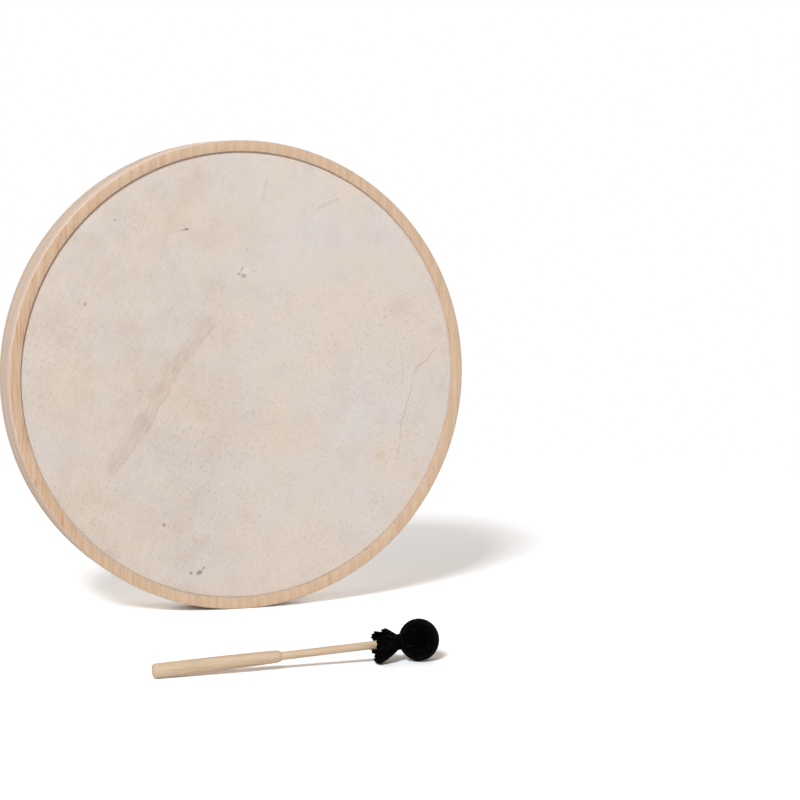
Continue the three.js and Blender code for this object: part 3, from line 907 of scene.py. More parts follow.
def make_tie():
    """Thread wound round the neck of the cover."""
    steps = 24
    loops = 2
    points = []
    for i in range(loops * steps + 1):
        along = (NECK_FRONT + NECK_BACK) / 2 + TIE_CORD * 1.05 * (i / steps - loops / 2)
        points.append(on_stick(along, NECK_RADIUS + 0.35, FULL_TURN * i / steps))
    return cord_mesh("neck_thread", points, TIE_CORD)


# Node helpers
class Value:
    """What comes out of a node; sums, differences and products of it add nodes to its tree."""

    def __init__(self, nodes, socket):
        self.nodes = nodes
        self.socket = socket

    def __add__(self, other):
        return self.nodes.math("ADD", self, other)

    def __sub__(self, other):
        return self.nodes.math("SUBTRACT", self, other)

    def __rsub__(self, other):
        return self.nodes.math("SUBTRACT", other, self)

    def __mul__(self, other):
        return self.nodes.math("MULTIPLY", self, other)


class Nodes:
    """Adds nodes to the tree of one material, world or shader group, and links them."""

    def __init__(self, tree, owner=None):
        self.tree = tree
        self.owner = owner

    def add(self, kind, inputs=None, **settings):
        node = self.tree.nodes.new(kind)
        for name, value in settings.items():
            setattr(node, name, value)
        for socket, value in (inputs or {}).items():
            if isinstance(value, Value):
                self.tree.links.new(value.socket, node.inputs[socket])
            else:
                node.inputs[socket].default_value = value
        return node

    def value(self, kind, inputs=None, output=0, **settings):
        return Value(self, self.add(kind, inputs, **settings).outputs[output])

    def math(self, operation, *values, clamp=False):
        return self.value("ShaderNodeMath", dict(enumerate(values)), operation=operation, use_clamp=clamp)

    def length(self, x, y):
        return self.math("SQRT", x * x + y * y)

    def waves(self, value):
        """The sine of a value, brought between 0 and 1."""
        return self.math("SINE", value) * 0.5 + 0.5

    def between(self, value, low, high):
        """0 where the value is at low, 1 at high, and smooth between."""
        inputs = {"Value": value, "From Min": low, "From Max": high}
        return self.value("ShaderNodeMapRange", inputs, interpolation_type="SMOOTHSTEP")

    def mix(self, factor, first, second):
        inputs = {0: factor}
        for socket, colour in ((6, first), (7, second)):
            inputs[socket] = (*colour, 1) if isinstance(colour, tuple) else colour
        return self.value("ShaderNodeMix", inputs, 2, data_type="RGBA")

    def tint(self, colour, second, mask, amount):
        """The colour, turned towards a second one by an amount where the mask is 1."""
        return self.mix(mask * amount, colour, second)

    def noise(self, place, scale, detail=3.0, roughness=0.5, distortion=0.0):
        inputs = {"Vector": place, "Scale": scale, "Detail": detail, "Roughness": roughness}
        return self.value("ShaderNodeTexNoise", {**inputs, "Distortion": distortion})

    def stretch(self, place, scales, shift=(0, 0, 0)):
        return self.value("ShaderNodeMapping", {"Vector": place, "Scale": scales, "Location": shift})

    def streaks(self, place, scales, detail=3.0, roughness=0.5, shift=(0, 0, 0)):
        """Noise with a scale of its own in each direction."""
        return self.noise(self.stretch(place, scales, shift), 1.0, detail, roughness)

    def place_from(self, centre):
        """Object coordinates in millimetres from a centre."""
        coordinates = self.value("ShaderNodeTexCoord", output="Object")
        return self.stretch(coordinates, (1 / MM,) * 3, tuple(-c / MM for c in centre))

    def parts(self, vector):
        return [Value(self, socket) for socket in self.add("ShaderNodeSeparateXYZ", {0: vector}).outputs]

    def vector(self, x, y, z):
        return self.value("ShaderNodeCombineXYZ", {0: x, 1: y, 2: z})

    def group(self, tree, *inputs):
        """Puts a shader group to work: its inputs go in by order, and its outputs come by name."""
        node = self.add("ShaderNodeGroup", dict(enumerate(inputs)), node_tree=tree)
        return {socket.name: Value(self, socket) for socket in node.outputs}

    def seen(self):
        """1 for the camera and for what mirrors and glass show, 0 for light that falls on things."""
        path = self.add("ShaderNodeLightPath").outputs
        camera, glossy, through = [
            Value(self, path[f"Is {ray} Ray"]) for ray in ("Camera", "Glossy", "Transmission")
        ]
        return self.math("MAXIMUM", camera, self.math("MAXIMUM", glossy, through))


def shader_group(name, inputs, build):
    """A shader group; build gets its nodes and what comes in, and returns what goes out by name."""
    tree = bpy.data.node_groups.new(name, "ShaderNodeTree")
    for label in inputs:
        kind = "NodeSocketVector" if label == "Place" else "NodeSocketFloat"
        tree.interface.new_socket(label, in_out="INPUT", socket_type=kind)
    nodes = Nodes(tree)
    given = nodes.add("NodeGroupInput").outputs
    results = build(nodes, *[Value(nodes, given[label]) for label in inputs])
    for label in results:
        tree.interface.new_socket(label, in_out="OUTPUT", socket_type="NodeSocketFloat")
    nodes.add("NodeGroupOutput", results)
    return tree


def emptied(owner):
    """The nodes of a new material or world."""
    owner.use_nodes = True
    owner.node_tree.nodes.clear()
    return Nodes(owner.node_tree, owner)


def surface(name):
    return emptied(bpy.data.materials.new(name))


def coated(nodes, colour, uneven, spread, smoothest, relief, depth, shine=0.5, **more):
    """Ends a material: its colour, a roughness that grows with a mask, and a relief in millimetres."""
    bump = {"Height": relief, "Distance": depth * MM, "Strength": 1.0}
    inputs = {
        "Base Color": colour,
        "Roughness": uneven * spread + smoothest,
        "Specular IOR Level": shine,
        "Normal": nodes.value("ShaderNodeBump", bump),
    }
    inputs.update({label.replace("_", " "): value for label, value in more.items()})
    nodes.add("ShaderNodeOutputMaterial", {"Surface": nodes.value("ShaderNodeBsdfPrincipled", inputs)})
    return nodes.owner


# Shared effects
def build_hoop_place(nodes, place):
    x, depth, height = nodes.parts(place)
    along = nodes.math("ARCTAN2", x, height) * DRUM_RADIUS
    return {"Along": along, "Radius": nodes.length(x, height), "Depth": depth}


def build_wood_grain(nodes, place, ring_rate):
    """Grain that runs along X: broad figure, fine fibres, pores, darker flecks and thin lines."""
    _, y, z = nodes.parts(place)
    warp = nodes.streaks(place, (0.012, 0.1, 0.1), 2.0)
    pore = nodes.streaks(place, (0.09, 4.5, 4.5), 2.0, 0.6)
    fleck = nodes.streaks(place, (0.03, 0.42, 0.42), 3.0, 0.6, (31, 7, 5))
    line = nodes.streaks(place, (0.016, 1.05, 1.05), 2.0, 0.5, (3, 17, 11))
    return {
        "Figure": nodes.waves((y + z * 0.6) * ring_rate + warp * 9.0),
        "Fibre": nodes.streaks(place, (0.035, 1.6, 1.6), 4.0, 0.65),
        "Pore": nodes.between(pore, 0.56, 0.72),
        "Cloud": nodes.streaks(place, (0.008, 0.05, 0.05), 2.0),
        "Fleck": nodes.between(fleck, 0.6, 0.78),
        "Line": nodes.between(line, 0.54, 0.66),
    }


def build_spot(nodes, place, x, height, radius, softness, turn, slimness):
    """A soft round mark, 1 at its centre and 0 past its radius, with an uneven edge."""
    place_x, _, place_height = nodes.parts(place)
    right = place_x - x
    up = place_height - height
    cosine = nodes.math("COSINE", turn)
    sine = nodes.math("SINE", turn)
    distance = nodes.length(right * cosine + up * sine, (up * cosine - right * sine) * slimness)
    uneven = distance + nodes.noise(place, 0.35, 3.0, 0.6) * radius * 0.5
    return {"Mask": 1.0 - nodes.between(uneven, radius * (1.25 - softness), radius * 1.25)}


def build_crease(nodes, place, start_x, start_height, end_x, end_height, width, waver):
    """A line mark between two places, 1 on the line, with a wavering course."""
    x, _, height = nodes.parts(place)
    swing = (nodes.noise(place, 0.06, 3.0, 0.6) - 0.5) * waver
    right = x + swing - start_x
    up = height - swing - start_height
    run = end_x - start_x
    rise = end_height - start_height
    share = nodes.math("DIVIDE", right * run + up * rise, run * run + rise * rise, clamp=True)
    distance = nodes.length(right - share * run, up - share * rise)
    return {"Mask": 1.0 - nodes.between(distance, 0.0, width)}


def build_cord_fibre(nodes, twist):
    """Twisted strands of a cord from its UV: lines between strands, used for painted shade and relief in the
    gaps, and fine hairs.
    """
    uv = nodes.value("ShaderNodeUVMap")
    around, along, _ = nodes.parts(uv)
    return {
        "Strand": nodes.waves((along * twist + around * 2.0) * math.pi),
        "Hair": nodes.streaks(uv, (3.0, 1.2, 1.0), 3.0, 0.7),
        "Soil": nodes.streaks(uv, (0.2, 0.05, 1.0), 2.0),
    }


SPOT_INPUTS = ["Place", "X", "Height", "Radius", "Softness", "Turn", "Slimness"]
CREASE_INPUTS = ["Place", "Start X", "Start Height", "End X", "End Height", "Width", "Waver"]
HOOP_PLACE = shader_group("hoop_place", ["Place"], build_hoop_place)
WOOD_GRAIN = shader_group("wood_grain", ["Place", "Ring Rate"], build_wood_grain)
SPOT = shader_group("hide_spot", SPOT_INPUTS, build_spot)
CREASE = shader_group("hide_crease", CREASE_INPUTS, build_crease)
CORD_FIBRE = shader_group("cord_fibre", ["Twist"], build_cord_fibre)


# Wood finishes
def wood_colours(nodes, grain, light, dark, fleck, fleck_amount):
    """Wood colour from its grain: light and dark wood, fibres, and warm flecks."""
    base = nodes.tint(light, dark, grain["Figure"], 0.45)
    fibred = nodes.tint(base, dark, nodes.between(grain["Fibre"], 0.4, 0.66), 0.42)
    clouded = nodes.tint(fibred, light, nodes.between(grain["Cloud"], 0.4, 0.68), 0.35)
    flecked = nodes.tint(clouded, fleck, grain["Fleck"], fleck_amount)
    lined = nodes.tint(flecked, tuple(c * 0.72 for c in dark), grain["Line"], 0.45)
    return nodes.tint(lined, tuple(c * 0.55 for c in dark), grain["Pore"], 0.3)


def coated_wood(nodes, colour, grain, spread, smoothest, depth, shine):
    relief = grain["Fibre"] * 0.7 - grain["Pore"] * 0.6
    return coated(nodes, colour, grain["Fibre"], spread, smoothest, relief, depth, shine)


def hoop_grain(nodes, ring_rate):
    """Places round the drum, and grain that runs along them."""
    hoop = nodes.group(HOOP_PLACE, nodes.place_from(FRONT))
    along = nodes.vector(hoop["Along"], hoop["Radius"], hoop["Depth"])
    return hoop, nodes.group(WOOD_GRAIN, along, ring_rate)


def make_rim_wood():
    nodes = surface("rim_wood_oiled")
    hoop, grain = hoop_grain(nodes, 0.42)
    back = wood_colours(nodes, grain, (0.74, 0.555, 0.37), (0.56, 0.37, 0.205), (0.45, 0.22, 0.08), 0.95)
    outside = wood_colours(nodes, grain, (0.8, 0.655, 0.52), (0.67, 0.5, 0.36), (0.58, 0.37, 0.21), 0.2)
    tan = nodes.mix(nodes.between(hoop["Radius"], DRUM_RADIUS - 2.5, DRUM_RADIUS - 0.2), back, outside)
    # Painted shade: the inner wall is darkened, and the wood's fine lines are drawn only there.
    inner = 1.0 - nodes.between(hoop["Radius"], RIM_INNER + 0.2, RIM_INNER + 2.2)
    lines = nodes.between(nodes.math("SINE", hoop["Depth"] * 2.1), 0.3, 1.0)
    shaded = nodes.tint(tan, (0.48, 0.3, 0.165), inner, 0.35)
    colour = nodes.tint(shaded, (0.33, 0.19, 0.095), lines * inner, 0.35)
    return coated_wood(nodes, colour, grain, spread=0.2, smoothest=0.6, depth=0.06, shine=0.12)


def make_band_wood():
    nodes = surface("band_wood_pale")
    _, grain = hoop_grain(nodes, 0.9)
    colour = wood_colours(nodes, grain, (0.935, 0.775, 0.655), (0.81, 0.625, 0.495), (0.7, 0.48, 0.32), 0.15)
    return coated_wood(nodes, colour, grain, spread=0.15, smoothest=0.8, depth=0.04, shine=0.03)


def make_face_wood():
    nodes = surface("ring_face_wood")
    place = nodes.place_from(FRONT)
    x, depth, height = nodes.parts(place)
    grain = nodes.group(WOOD_GRAIN, nodes.vector(height, x, depth), 0.55)
    plain = wood_colours(nodes, grain, (0.755, 0.57, 0.405), (0.63, 0.415, 0.245), (0.53, 0.28, 0.12), 0.55)
    flame = nodes.between(nodes.streaks(place, (0.55, 0.55, 0.03), 4.0, 0.7), 0.47, 0.62)
    left = 1.0 - nodes.between(x, -215.0, -120.0)
    colour = nodes.tint(plain, (0.56, 0.265, 0.105), flame * left, 0.62)
    return coated_wood(nodes, colour, grain, spread=0.2, smoothest=0.42, depth=0.08, shine=0.35)


def make_tuning_wood():
    nodes = surface("tuning_wood_brown")
    hoop, grain = hoop_grain(nodes, 1.1)
    tan = wood_colours(nodes, grain, (0.52, 0.35, 0.21), (0.39, 0.24, 0.13), (0.33, 0.16, 0.07), 0.5)
    lines = nodes.between(nodes.math("SINE", hoop["Depth"] * 3.2), 0.5, 1.0)
    colour = nodes.tint(tan, (0.26, 0.15, 0.075), lines, 0.3)
    return coated_wood(nodes, colour, grain, spread=0.2, smoothest=0.5, depth=0.1, shine=0.3)


def make_stick_wood():
    nodes = surface("stick_wood_turned")
    grain = nodes.group(WOOD_GRAIN, nodes.place_from(STICK_START), 0.8)
    colour = wood_colours(
        nodes, grain, (0.765, 0.604, 0.423), (0.612, 0.431, 0.263), (0.514, 0.323, 0.171), 0.35
    )
    return coated_wood(nodes, colour, grain, spread=0.2, smoothest=0.45, depth=0.06, shine=0.35)


# Rawhide: marks as places from the head's centre, x to the right seen from the front
DARK_MARK = (0.35, 0.24, 0.19)
GREEN_MARK = (0.3, 0.29, 0.23)
LIGHT_MARK = (0.83, 0.78, 0.7)
YELLOW = (0.64, 0.5, 0.25)
PURPLE = (0.56, 0.44, 0.42)
WARM = (0.76, 0.62, 0.45)

# Spots: x, height, radius, strength and colour, and for a long one its turn and slimness
SPOTS = [
    (4.2, 112.0, 4.5, 0.6, LIGHT_MARK),
    (0.3, 113.5, 3.4, 0.6, DARK_MARK, 1.15, 3.4),
    (-2.8, 108.8, 1.9, 0.6, DARK_MARK),
    (2.2, 106.6, 3.6, 0.55, DARK_MARK, 0.2, 1.3),
    (6.0, 134.0, 1.8, 0.5, DARK_MARK, 1.6, 1.6),
    (13.9, 111.0, 1.5, 0.5, DARK_MARK, 1.6, 1.6),
    (-60.0, 156.4, 3.2, 0.8, DARK_MARK, 0.15, 1.7),
    (-64.0, 155.6, 3.6, 0.45, DARK_MARK, 0.25, 3.2),
    (-136.4, 166.4, 1.9, 0.75, DARK_MARK, 0.9, 1.5),
    (-169.1, 79.5, 2.3, 0.6, DARK_MARK),
    (-86.8, -155.7, 2.8, 0.65, (0.42, 0.25, 0.18)),
    (-48.6, -208.4, 4.6, 0.85, GREEN_MARK, 0.5, 1.4),
    (-43.6, -203.6, 3.0, 0.75, GREEN_MARK, 0.95, 2.6),
    (-57.7, -208.5, 2.2, 0.7, (0.36, 0.22, 0.14)),
]

# Stains: x, height, radius, strength and colour
STAINS = [
    (155.4, -90.2, 11.0, 0.4, YELLOW),
    (197.1, -114.9, 9.0, 0.4, YELLOW),
    (76.5, 223.8, 16.0, 0.35, PURPLE),
    (178.5, 72.7, 22.0, 0.3, PURPLE),
    (220.3, 44.7, 14.0, 0.3, PURPLE),
    # This stain and the last one, both wide at the left edge, are partly stains and partly painted shade that
    # darkens the skin towards the left.
    (-205.0, 60.0, 40.0, 0.25, PURPLE),
    (-60.0, -15.0, 45.0, 0.3, WARM),
    (60.0, -60.0, 60.0, 0.25, WARM),
    (-190.0, -20.0, 60.0, 0.4, WARM),
]

# Cracks: start, end, width and strength
CRACKS = [
    ((194.7, -1.7), (220.3, 26.1), 1.3, 0.55),
    ((236.0, 1.0), (222.7, -18.9), 1.0, 0.35),
    ((175.0, -94.2), (179.6, -58.2), 1.2, 0.55),
    ((179.6, -58.2), (192.4, -14.8), 1.3, 0.5),
    ((192.4, -14.8), (197.0, 8.0), 1.2, 0.3),
    ((180.0, 22.0), (182.5, -12.0), 1.2, 0.25),
    ((85.3, 178.0), (107.9, 187.6), 3.0, 0.3),
    ((29.7, 207.8), (23.0, 186.7), 3.0, 0.25),
    ((-62.0, 156.0), (-75.0, 152.8), 1.6, 0.25),
]
BACKBONE = [(-136.9, -97.3), (-101.0, -48.9), (-69.1, 9.3), (-30.0, 55.0)]
HAIR_SLOPE = math.radians(62)


def hide_base(nodes, place):
    """Beige hide with soft clouds of pink and grey."""
    cloud = nodes.noise(nodes.stretch(place, (1, 1, 1), (13, 0, 71)), 0.012, 4.0, 0.55, 0.4)
    second = nodes.noise(nodes.stretch(place, (1, 1, 1), (171, 0, 33)), 0.03, 4.0, 0.6)
    beige = nodes.mix(nodes.between(cloud, 0.36, 0.66), (0.79, 0.7, 0.6), (0.765, 0.715, 0.66))
    return nodes.tint(beige, (0.68, 0.585, 0.53), nodes.between(second, 0.45, 0.7), 0.35)


def make_front_hide():
    nodes = surface("rawhide_outside")
    place = nodes.place_from(FRONT)
    x, _, height = nodes.parts(place)
    colour = hide_base(nodes, place)

    def tint(mask, amount, second):
        return nodes.tint(colour, second, mask, amount)

    def spot(right, up, radius, softness, turn=0.0, slimness=1.0):
        return nodes.group(SPOT, place, right, up, radius, softness, turn, slimness)["Mask"]

    def crease(start, end, width, waver):
        return nodes.group(CREASE, place, *start, *end, width, waver)["Mask"]

    # The way the hair grew, up to the right
    cosine = math.cos(HAIR_SLOPE)
    sine = math.sin(HAIR_SLOPE)
    hair = nodes.vector(x * cosine + height * sine, height * cosine - x * sine, 0.0)

    # Fine grain, and thin lines along the hair at the left
    grain = nodes.noise(nodes.stretch(place, (1, 0.2, 1)), 0.55, 5.0, 0.75)
    colour = tint(nodes.between(grain, 0.42, 0.75), 0.34, (0.54, 0.43, 0.35))
    lines = nodes.streaks(hair, (0.05, 0.75, 1), 3.0, 0.6)
    left = 1.0 - nodes.between(x, -60.0, 60.0)
    colour = tint(nodes.between(lines, 0.5, 0.7) * left, 0.28, (0.52, 0.4, 0.31))
    mottle = nodes.between(nodes.noise(place, 0.022, 4.0, 0.7), 0.4, 0.65)
    colour = tint((mottle * 0.7 + 0.3) * left, 0.24, (0.54, 0.41, 0.29))

    # Follicles: dots drawn out along the hair, in the lower two thirds and in a patch at the upper left
    cell_inputs = {"Vector": nodes.stretch(hair, (0.115, 0.185, 1)), "Scale": 1.0, "Randomness": 0.85}
    cells = nodes.add("ShaderNodeTexVoronoi", cell_inputs, voronoi_dimensions="2D").outputs
    cell_strength, _, _ = nodes.parts(Value(nodes, cells["Color"]))
    dots = 1.0 - nodes.between(Value(nodes, cells["Distance"]), 0.05, 0.22)
    low = 1.0 - nodes.between(height, 60.0, 140.0)
    region = nodes.math("MAXIMUM", low, spot(-112.0, 168.0, 42.0, 0.9))
    patchy = nodes.between(nodes.noise(place, 0.011, 2.0), 0.25, 0.6)
    pores = dots * nodes.between(cell_strength, 0.0, 1.0) * (region * patchy)
    colour = tint(pores, 0.42, (0.43, 0.31, 0.22))

    # Backbone streak: a soft band of thin lines, with a crisp edge at its right
    for start, end in zip(BACKBONE, BACKBONE[1:]):
        band = crease((start[0] - 6, start[1] + 3), (end[0] - 6, end[1] + 3), 14.0, 8.0)
        edge = crease(start, end, 2.4, 8.0) * nodes.between(lines, 0.3, 0.55)
        colour = tint(band, 0.13, (0.52, 0.4, 0.3))
        colour = tint(band * nodes.between(lines, 0.4, 0.6), 0.2, (0.48, 0.35, 0.26))
        colour = tint(edge, 0.2, (0.43, 0.31, 0.23))

    for start, end, width, strength in CRACKS:
        colour = tint(crease(start, end, width, 6.0), strength * 0.75, (0.46, 0.33, 0.23))
    for right, up, radius, strength, second in STAINS:
        colour = tint(spot(right, up, radius, 1.2), strength, second)
    for right, up, radius, strength, second, *shape in SPOTS:
        colour = tint(spot(right, up, radius, 0.5, *shape), strength, second)
    relief = grain * 0.5 - pores * 0.4
    return coated(nodes, colour, grain, spread=0.25, smoothest=0.5, relief=relief, depth=0.12, shine=0.3)


def make_back_hide():
    nodes = surface("rawhide_inside")
    place = nodes.place_from(FRONT)
    cloud = nodes.noise(nodes.stretch(place, (1, 1, 1), (53, 0, 91)), 0.01, 3.0, 0.5, 0.5)
    pink = nodes.noise(nodes.stretch(place, (1, 1, 1), (7, 0, 203)), 0.017, 3.0, 0.5)
    fine = nodes.noise(place, 1.1, 5.0, 0.7)
    grey = nodes.mix(nodes.between(cloud, 0.36, 0.66), (0.69, 0.67, 0.61), (0.68, 0.64, 0.58))
    pinked = nodes.tint(grey, (0.7, 0.6, 0.5), nodes.between(pink, 0.5, 0.72), 0.3)
    colour = nodes.tint(pinked, (0.52, 0.48, 0.42), nodes.between(fine, 0.45, 0.75), 0.15)
    return coated(nodes, colour, fine, spread=0.2, smoothest=0.6, relief=fine, depth=0.1, shine=0.25)


def make_lace_hide():
    """Rawhide strip, greyer over the rim and browner at the knots."""
    nodes = surface("lace_hide")
    place = nodes.place_from(HUB_CENTRE)
    x, depth, height = nodes.parts(place)
    fine = nodes.noise(place, 0.9, 4.0, 0.7)
    cloud = nodes.between(nodes.noise(place, 0.05, 3.0, 0.6), 0.35, 0.68)
    tan = nodes.mix(cloud, (0.68, 0.545, 0.37), (0.6, 0.45, 0.29))
    over_rim = nodes.between(nodes.length(x, height), 215.0, 236.0) * nodes.between(depth, 0.0, 3.0)
    greyed = nodes.tint(tan, (0.56, 0.46, 0.36), over_rim, 0.5)
    browned = nodes.tint(greyed, (0.42, 0.26, 0.15), 1.0 - nodes.between(depth, -6.0, 1.0), 0.45)
    colour = nodes.tint(browned, (0.44, 0.31, 0.19), nodes.between(fine, 0.45, 0.75), 0.25)
    return coated(nodes, colour, fine, spread=0.25, smoothest=0.42, relief=fine, depth=0.15, shine=0.35)


# Cords and cloth
def make_cord_material(name, light, dark, twist):
    nodes = surface(name)
    fibre = nodes.group(CORD_FIBRE, twist)
    # Painted shade: the cord is darkened in the gaps between its strands.
    strands = nodes.tint(light, dark, nodes.between(fibre["Strand"], 0.55, 0.0), 0.45)
    haired = nodes.tint(strands, dark, nodes.between(fibre["Hair"], 0.4, 0.75), 0.3)
    colour = nodes.tint(haired, dark, nodes.between(fibre["Soil"], 0.45, 0.75), 0.15)
    hair = fibre["Hair"]
    relief = fibre["Strand"] + hair * 0.5
    return coated(nodes, colour, hair, spread=0.2, smoothest=0.7, relief=relief, depth=0.05, shine=0.05)


def make_inner_wrap_material():
    """The hub's inner wraps: cord lines that run the way of the outer strands, the white cord greyed as
    painted shade under the outer loops and darkest between the rows.
    """
    nodes = surface("inner_wrap_cord_painted_shade")
    coordinates = nodes.value("ShaderNodeTexCoord", output="Object")
    turning = {"Vector": coordinates, "Center": HUB_CENTRE, "Angle": FIRST_LACE + math.pi / 4}
    turned = nodes.value("ShaderNodeVectorRotate", turning, rotation_type="Y_AXIS")
    x, _, _ = nodes.parts(nodes.stretch(turned, (1 / MM,) * 3))
    rows = nodes.waves(x * 5.2)
    fine = nodes.noise(coordinates, 1400.0, 3.0, 0.6)
    # Painted shade: grey cord, darker between the rows.
    base = nodes.mix(nodes.between(rows, 0.0, 0.5), (0.42, 0.43, 0.44), (0.7, 0.72, 0.74))
    colour = nodes.tint(base, (0.5, 0.51, 0.52), fine, 0.25)
    return coated(nodes, colour, fine, spread=0.2, smoothest=0.7, relief=rows, depth=0.1, shine=0.2)


def make_black_cloth():
    nodes = surface("black_velvet")
    place = nodes.place_from(STICK_START)
    pile = nodes.noise(place, 3.2, 4.0, 0.75)
    sheen_and_roughness_noise = nodes.noise(nodes.stretch(place, (0.5, 1.0, 1.6)), 0.09, 3.0, 0.65, 0.8)
    # Painted sheen: purplish-grey patches in the black colour, where the velvet shows its highlights; the
    # same noise also varies the roughness.
    patch = nodes.between(sheen_and_roughness_noise, 0.56, 0.68) * nodes.between(pile, 0.3, 0.6)
    colour = nodes.mix(patch, (0.0003, 0.0003, 0.0003), (0.015, 0.0105, 0.013))
    return coated(
        nodes, colour, sheen_and_roughness_noise, spread=0.2, smoothest=0.8, relief=pile, depth=0.35, shine=0.02,
        Sheen_Weight=0.02, Sheen_Roughness=0.4
    )


def make_felt():
    nodes = surface("pressed_felt")
    lint = nodes.noise(nodes.place_from(STICK_START), 1.5, 5.0, 0.8, 0.8)
    colour = nodes.mix(nodes.between(lint, 0.3, 0.7), (0.62, 0.58, 0.51), (0.48, 0.44, 0.38))
    return coated(
        nodes, colour, lint, spread=0.1, smoothest=0.85, relief=lint, depth=0.4, shine=0.1,
        Sheen_Weight=0.3
    )


# Metals
def make_metal(name, clean, worn, metallic):
    nodes = surface(name)
    place = nodes.place_from(FRONT)
    tarnish = nodes.noise(place, 0.8, 4.0, 0.65)
    scratch = nodes.streaks(place, (6, 1, 6), 3.0, 0.6)
    colour = nodes.mix(nodes.between(tarnish, 0.38, 0.66), clean, worn)
    return coated(
        nodes, colour, tarnish, spread=0.35, smoothest=0.18, relief=scratch, depth=0.03,
        Metallic=tarnish * -0.15 + metallic
    )


# Dress the drum
def wear(piece, *materials):
    piece.data.materials.clear()
    for made in materials:
        piece.data.materials.append(made)


def put_on(piece, body, slot, nodes, *materials):
    """Gives a piece its body, the nodes that it stands for, and its materials; its record slot is not used.
    """
    wear(piece, *materials)
    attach(piece, body)
    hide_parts(*nodes)


rim = make_rim()
put_on(rim, "drum", "rim_wood", ["rim"], make_rim_wood())

cover_ring = make_cover_ring()
put_on(cover_ring, "drum", "cover_wood", ["cover_ring"], make_face_wood(), make_band_wood())
for face in cover_ring.data.polygons:
    middle = (face.center - FRONT) / MM
    on_face = face.normal.y < -0.72 or math.hypot(middle.x, middle.z) < BAND_INNER - 1
    face.material_index = 0 if on_face else 1

head = make_head()
wear(head, make_front_hide(), make_back_hide())
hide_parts("drum_head")
for face in head.data.polygons:
    face.material_index = 1 if face.normal.y > 0.2 else 0
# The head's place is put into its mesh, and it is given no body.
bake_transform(head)

tuning_ring = make_tuning_ring()
put_on(tuning_ring, "tuning_ring_body", "tuning_wood", ["tuning_ring"], make_tuning_wood())

screw_metal = make_metal("screw_blackened", (0.230, 0.195, 0.165), (0.050, 0.040, 0.032), 0.95)
insert_metal = make_metal("insert_bronze", (0.220, 0.140, 0.085), (0.080, 0.050, 0.032), 1.0)
for number, angle in enumerate(screw_angles(), start=1):
    screw = make_screw(number, angle)
    put_on(screw, f"screw_{number}", "dark_screw", [f"tuning_screw_{number}"], screw_metal)
    insert = make_insert(number, angle)
    put_on(insert, "drum", "bronze_insert", [f"threaded_insert_{number}"], insert_metal)

lace_hide = make_lace_hide()
LACES = {"upright": -1, "level": 1}
for arm, (way, order) in enumerate(LACES.items()):
    put_on(make_lace(f"{way}_lace", order, arm), "drum", "lace_rawhide", [f"lace_{way}"], lace_hide)

white_cord = make_cord_material("white_cord_cotton", (0.94, 0.945, 0.95), (0.48, 0.5, 0.53), 1.0)
hub_core = make_hub_core()
put_on(hub_core, "drum", "white_cord", ["hub_core"], make_inner_wrap_material())
hub_binding = make_hub_binding()
put_on(hub_binding, "drum", "white_cord", ["hub_binding"], white_cord)

# Sleeves, clockwise from the top: where each bulges, as a share of its length, how much, and its seed
SLEEVES = {
    "top": (0.95, 0.25, 3),
    "right": (0.85, 0.55, 11),
    "bottom": (0.9, 0.75, 17),
    "left": (0.93, 0.6, 23),
}
for arm, (side, (bulge_at, bulge, seed)) in enumerate(SLEEVES.items()):
    order = list(LACES.values())[arm % 2]
    sleeve = make_sleeve(f"arm_sleeve_{side}", order, lace_angles()[arm], bulge_at, bulge, seed)
    put_on(sleeve, "drum", "white_cord", [f"arm_binding_{side}"], white_cord)

# Dress the beater
stick_wood = make_stick_wood()
black_cloth = make_black_cloth()
put_on(make_grip(), "beater", "stick_wood", ["beater_grip"], stick_wood)
put_on(make_rod(), "beater", "stick_wood", ["beater_rod"], stick_wood)
put_on(make_ball(), "beater", "felt", ["beater_ball"], make_felt())
cover = make_cover()
put_on(cover, "beater", "black_cloth", ["beater_cover"], black_cloth)
tie = make_tie()
black_thread = make_cord_material("black_thread", (0.002, 0.0018, 0.002), (0.0006, 0.0006, 0.0006), 1.0)
put_on(tie, "beater", "black_cloth", ["beater_tie"], black_thread)


# Ground
def make_ground():
    ground = added(bpy.ops.mesh.primitive_plane_add, size=30)
    ground.name = "ground"
    nodes = surface("pale_ground")
    x, y, _ = nodes.parts(nodes.place_from(Vector((0, 0, 0))))
    far = nodes.between(nodes.length(x, y), 700.0, 1500.0)
    diffuse = nodes.value("ShaderNodeBsdfDiffuse", {"Color": (0.8, 0.79, 0.79, 1)})
    lifted = nodes.value("ShaderNodeBsdfDiffuse", {"Color": (1.47, 1.52, 1.54, 1)})
    white = nodes.value("ShaderNodeEmission", {"Color": (1, 1, 1, 1), "Strength": 1.0})
    shown = nodes.value("ShaderNodeMixShader", {0: far, 1: lifted, 2: white})
    mixed = nodes.value("ShaderNodeMixShader", {0: nodes.seen(), 1: diffuse, 2: shown})
    nodes.add("ShaderNodeOutputMaterial", {"Surface": mixed})
    wear(ground, nodes.owner)


make_ground()


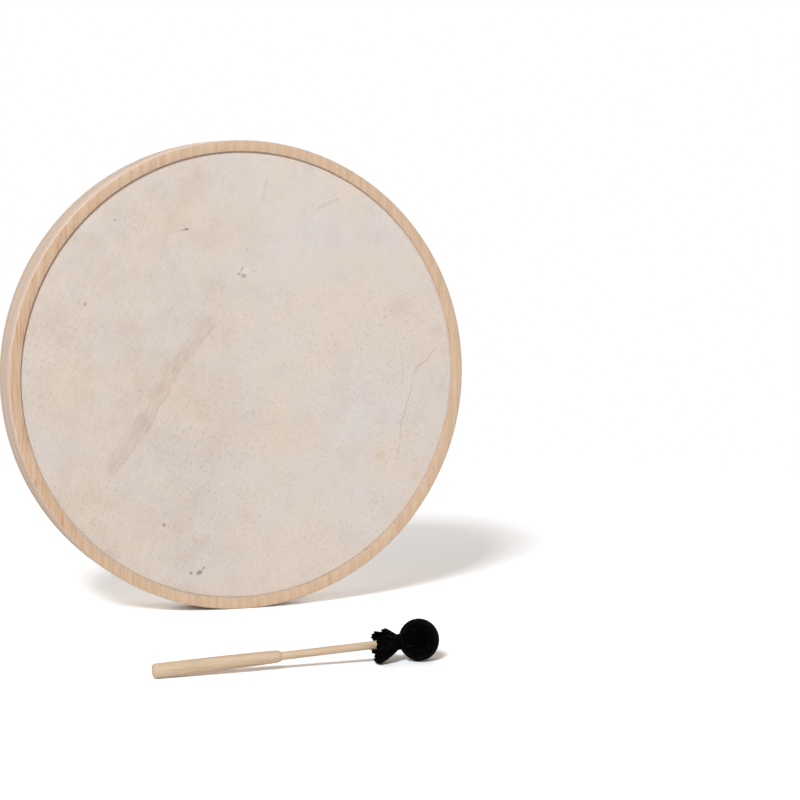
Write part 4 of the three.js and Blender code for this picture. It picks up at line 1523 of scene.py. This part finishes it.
# Light
def make_world():
    world = bpy.data.worlds.new("studio")
    bpy.context.scene.world = world
    nodes = emptied(world)
    soft = nodes.value("ShaderNodeBackground", {"Color": (1.0, 0.83, 0.72, 1), "Strength": 0.27})
    white = nodes.value("ShaderNodeBackground", {"Color": (1, 1, 1, 1), "Strength": 1.0})
    mixed = nodes.value("ShaderNodeMixShader", {0: nodes.seen(), 1: soft, 2: white})
    nodes.add("ShaderNodeOutputWorld", {"Surface": mixed})


def add_softbox(name, location, target, size, power):
    light = bpy.data.lights.new(name, "AREA")
    light.shape = "SQUARE"
    light.color = (0.965, 1.000, 1.055)
    light.size = size
    light.energy = power
    lamp = bpy.data.objects.new(name, light)
    bpy.context.scene.collection.objects.link(lamp)
    lamp.location = location
    lamp.rotation_euler = (target - location).to_track_quat("-Z", "Y").to_euler()
    lamp.visible_camera = False


make_world()
HEART = Vector((0, 0, 0.25))
add_softbox("key_softbox", Vector((-3.1, -5.0, 4.4)), HEART, size=1.6, power=376)
add_softbox("back_softbox", Vector((0.9, 3.6, 0.9)), HEART, size=1.5, power=92)


# Camera, placed by the photograph's view of the drum
AZIMUTH = math.radians(-19.764)
ELEVATION = math.radians(5.0)
CAMERA_DISTANCE = 2.65683
CAMERA_RIGHT = 0.16686
CAMERA_DOWN = 0.0254
CAMERA_AIM = Vector((0, -0.03, 0.25))
LENS = 112.5


def add_camera():
    level = math.cos(ELEVATION)
    back = Vector((math.sin(AZIMUTH) * level, -math.cos(AZIMUTH) * level, math.sin(ELEVATION)))
    right = Vector((math.cos(AZIMUTH), math.sin(AZIMUTH), 0))
    up = back.cross(right)
    lens = bpy.data.cameras.new("photo_view")
    lens.lens = LENS
    lens.sensor_width = 36
    camera = bpy.data.objects.new("photo_view", lens)
    bpy.context.scene.collection.objects.link(camera)
    camera.location = CAMERA_AIM + back * CAMERA_DISTANCE + right * CAMERA_RIGHT - up * CAMERA_DOWN
    camera.rotation_euler = Matrix((right, up, back)).transposed().to_euler()
    bpy.context.scene.camera = camera


add_camera()
bpy.context.scene.view_settings.view_transform = "Standard"
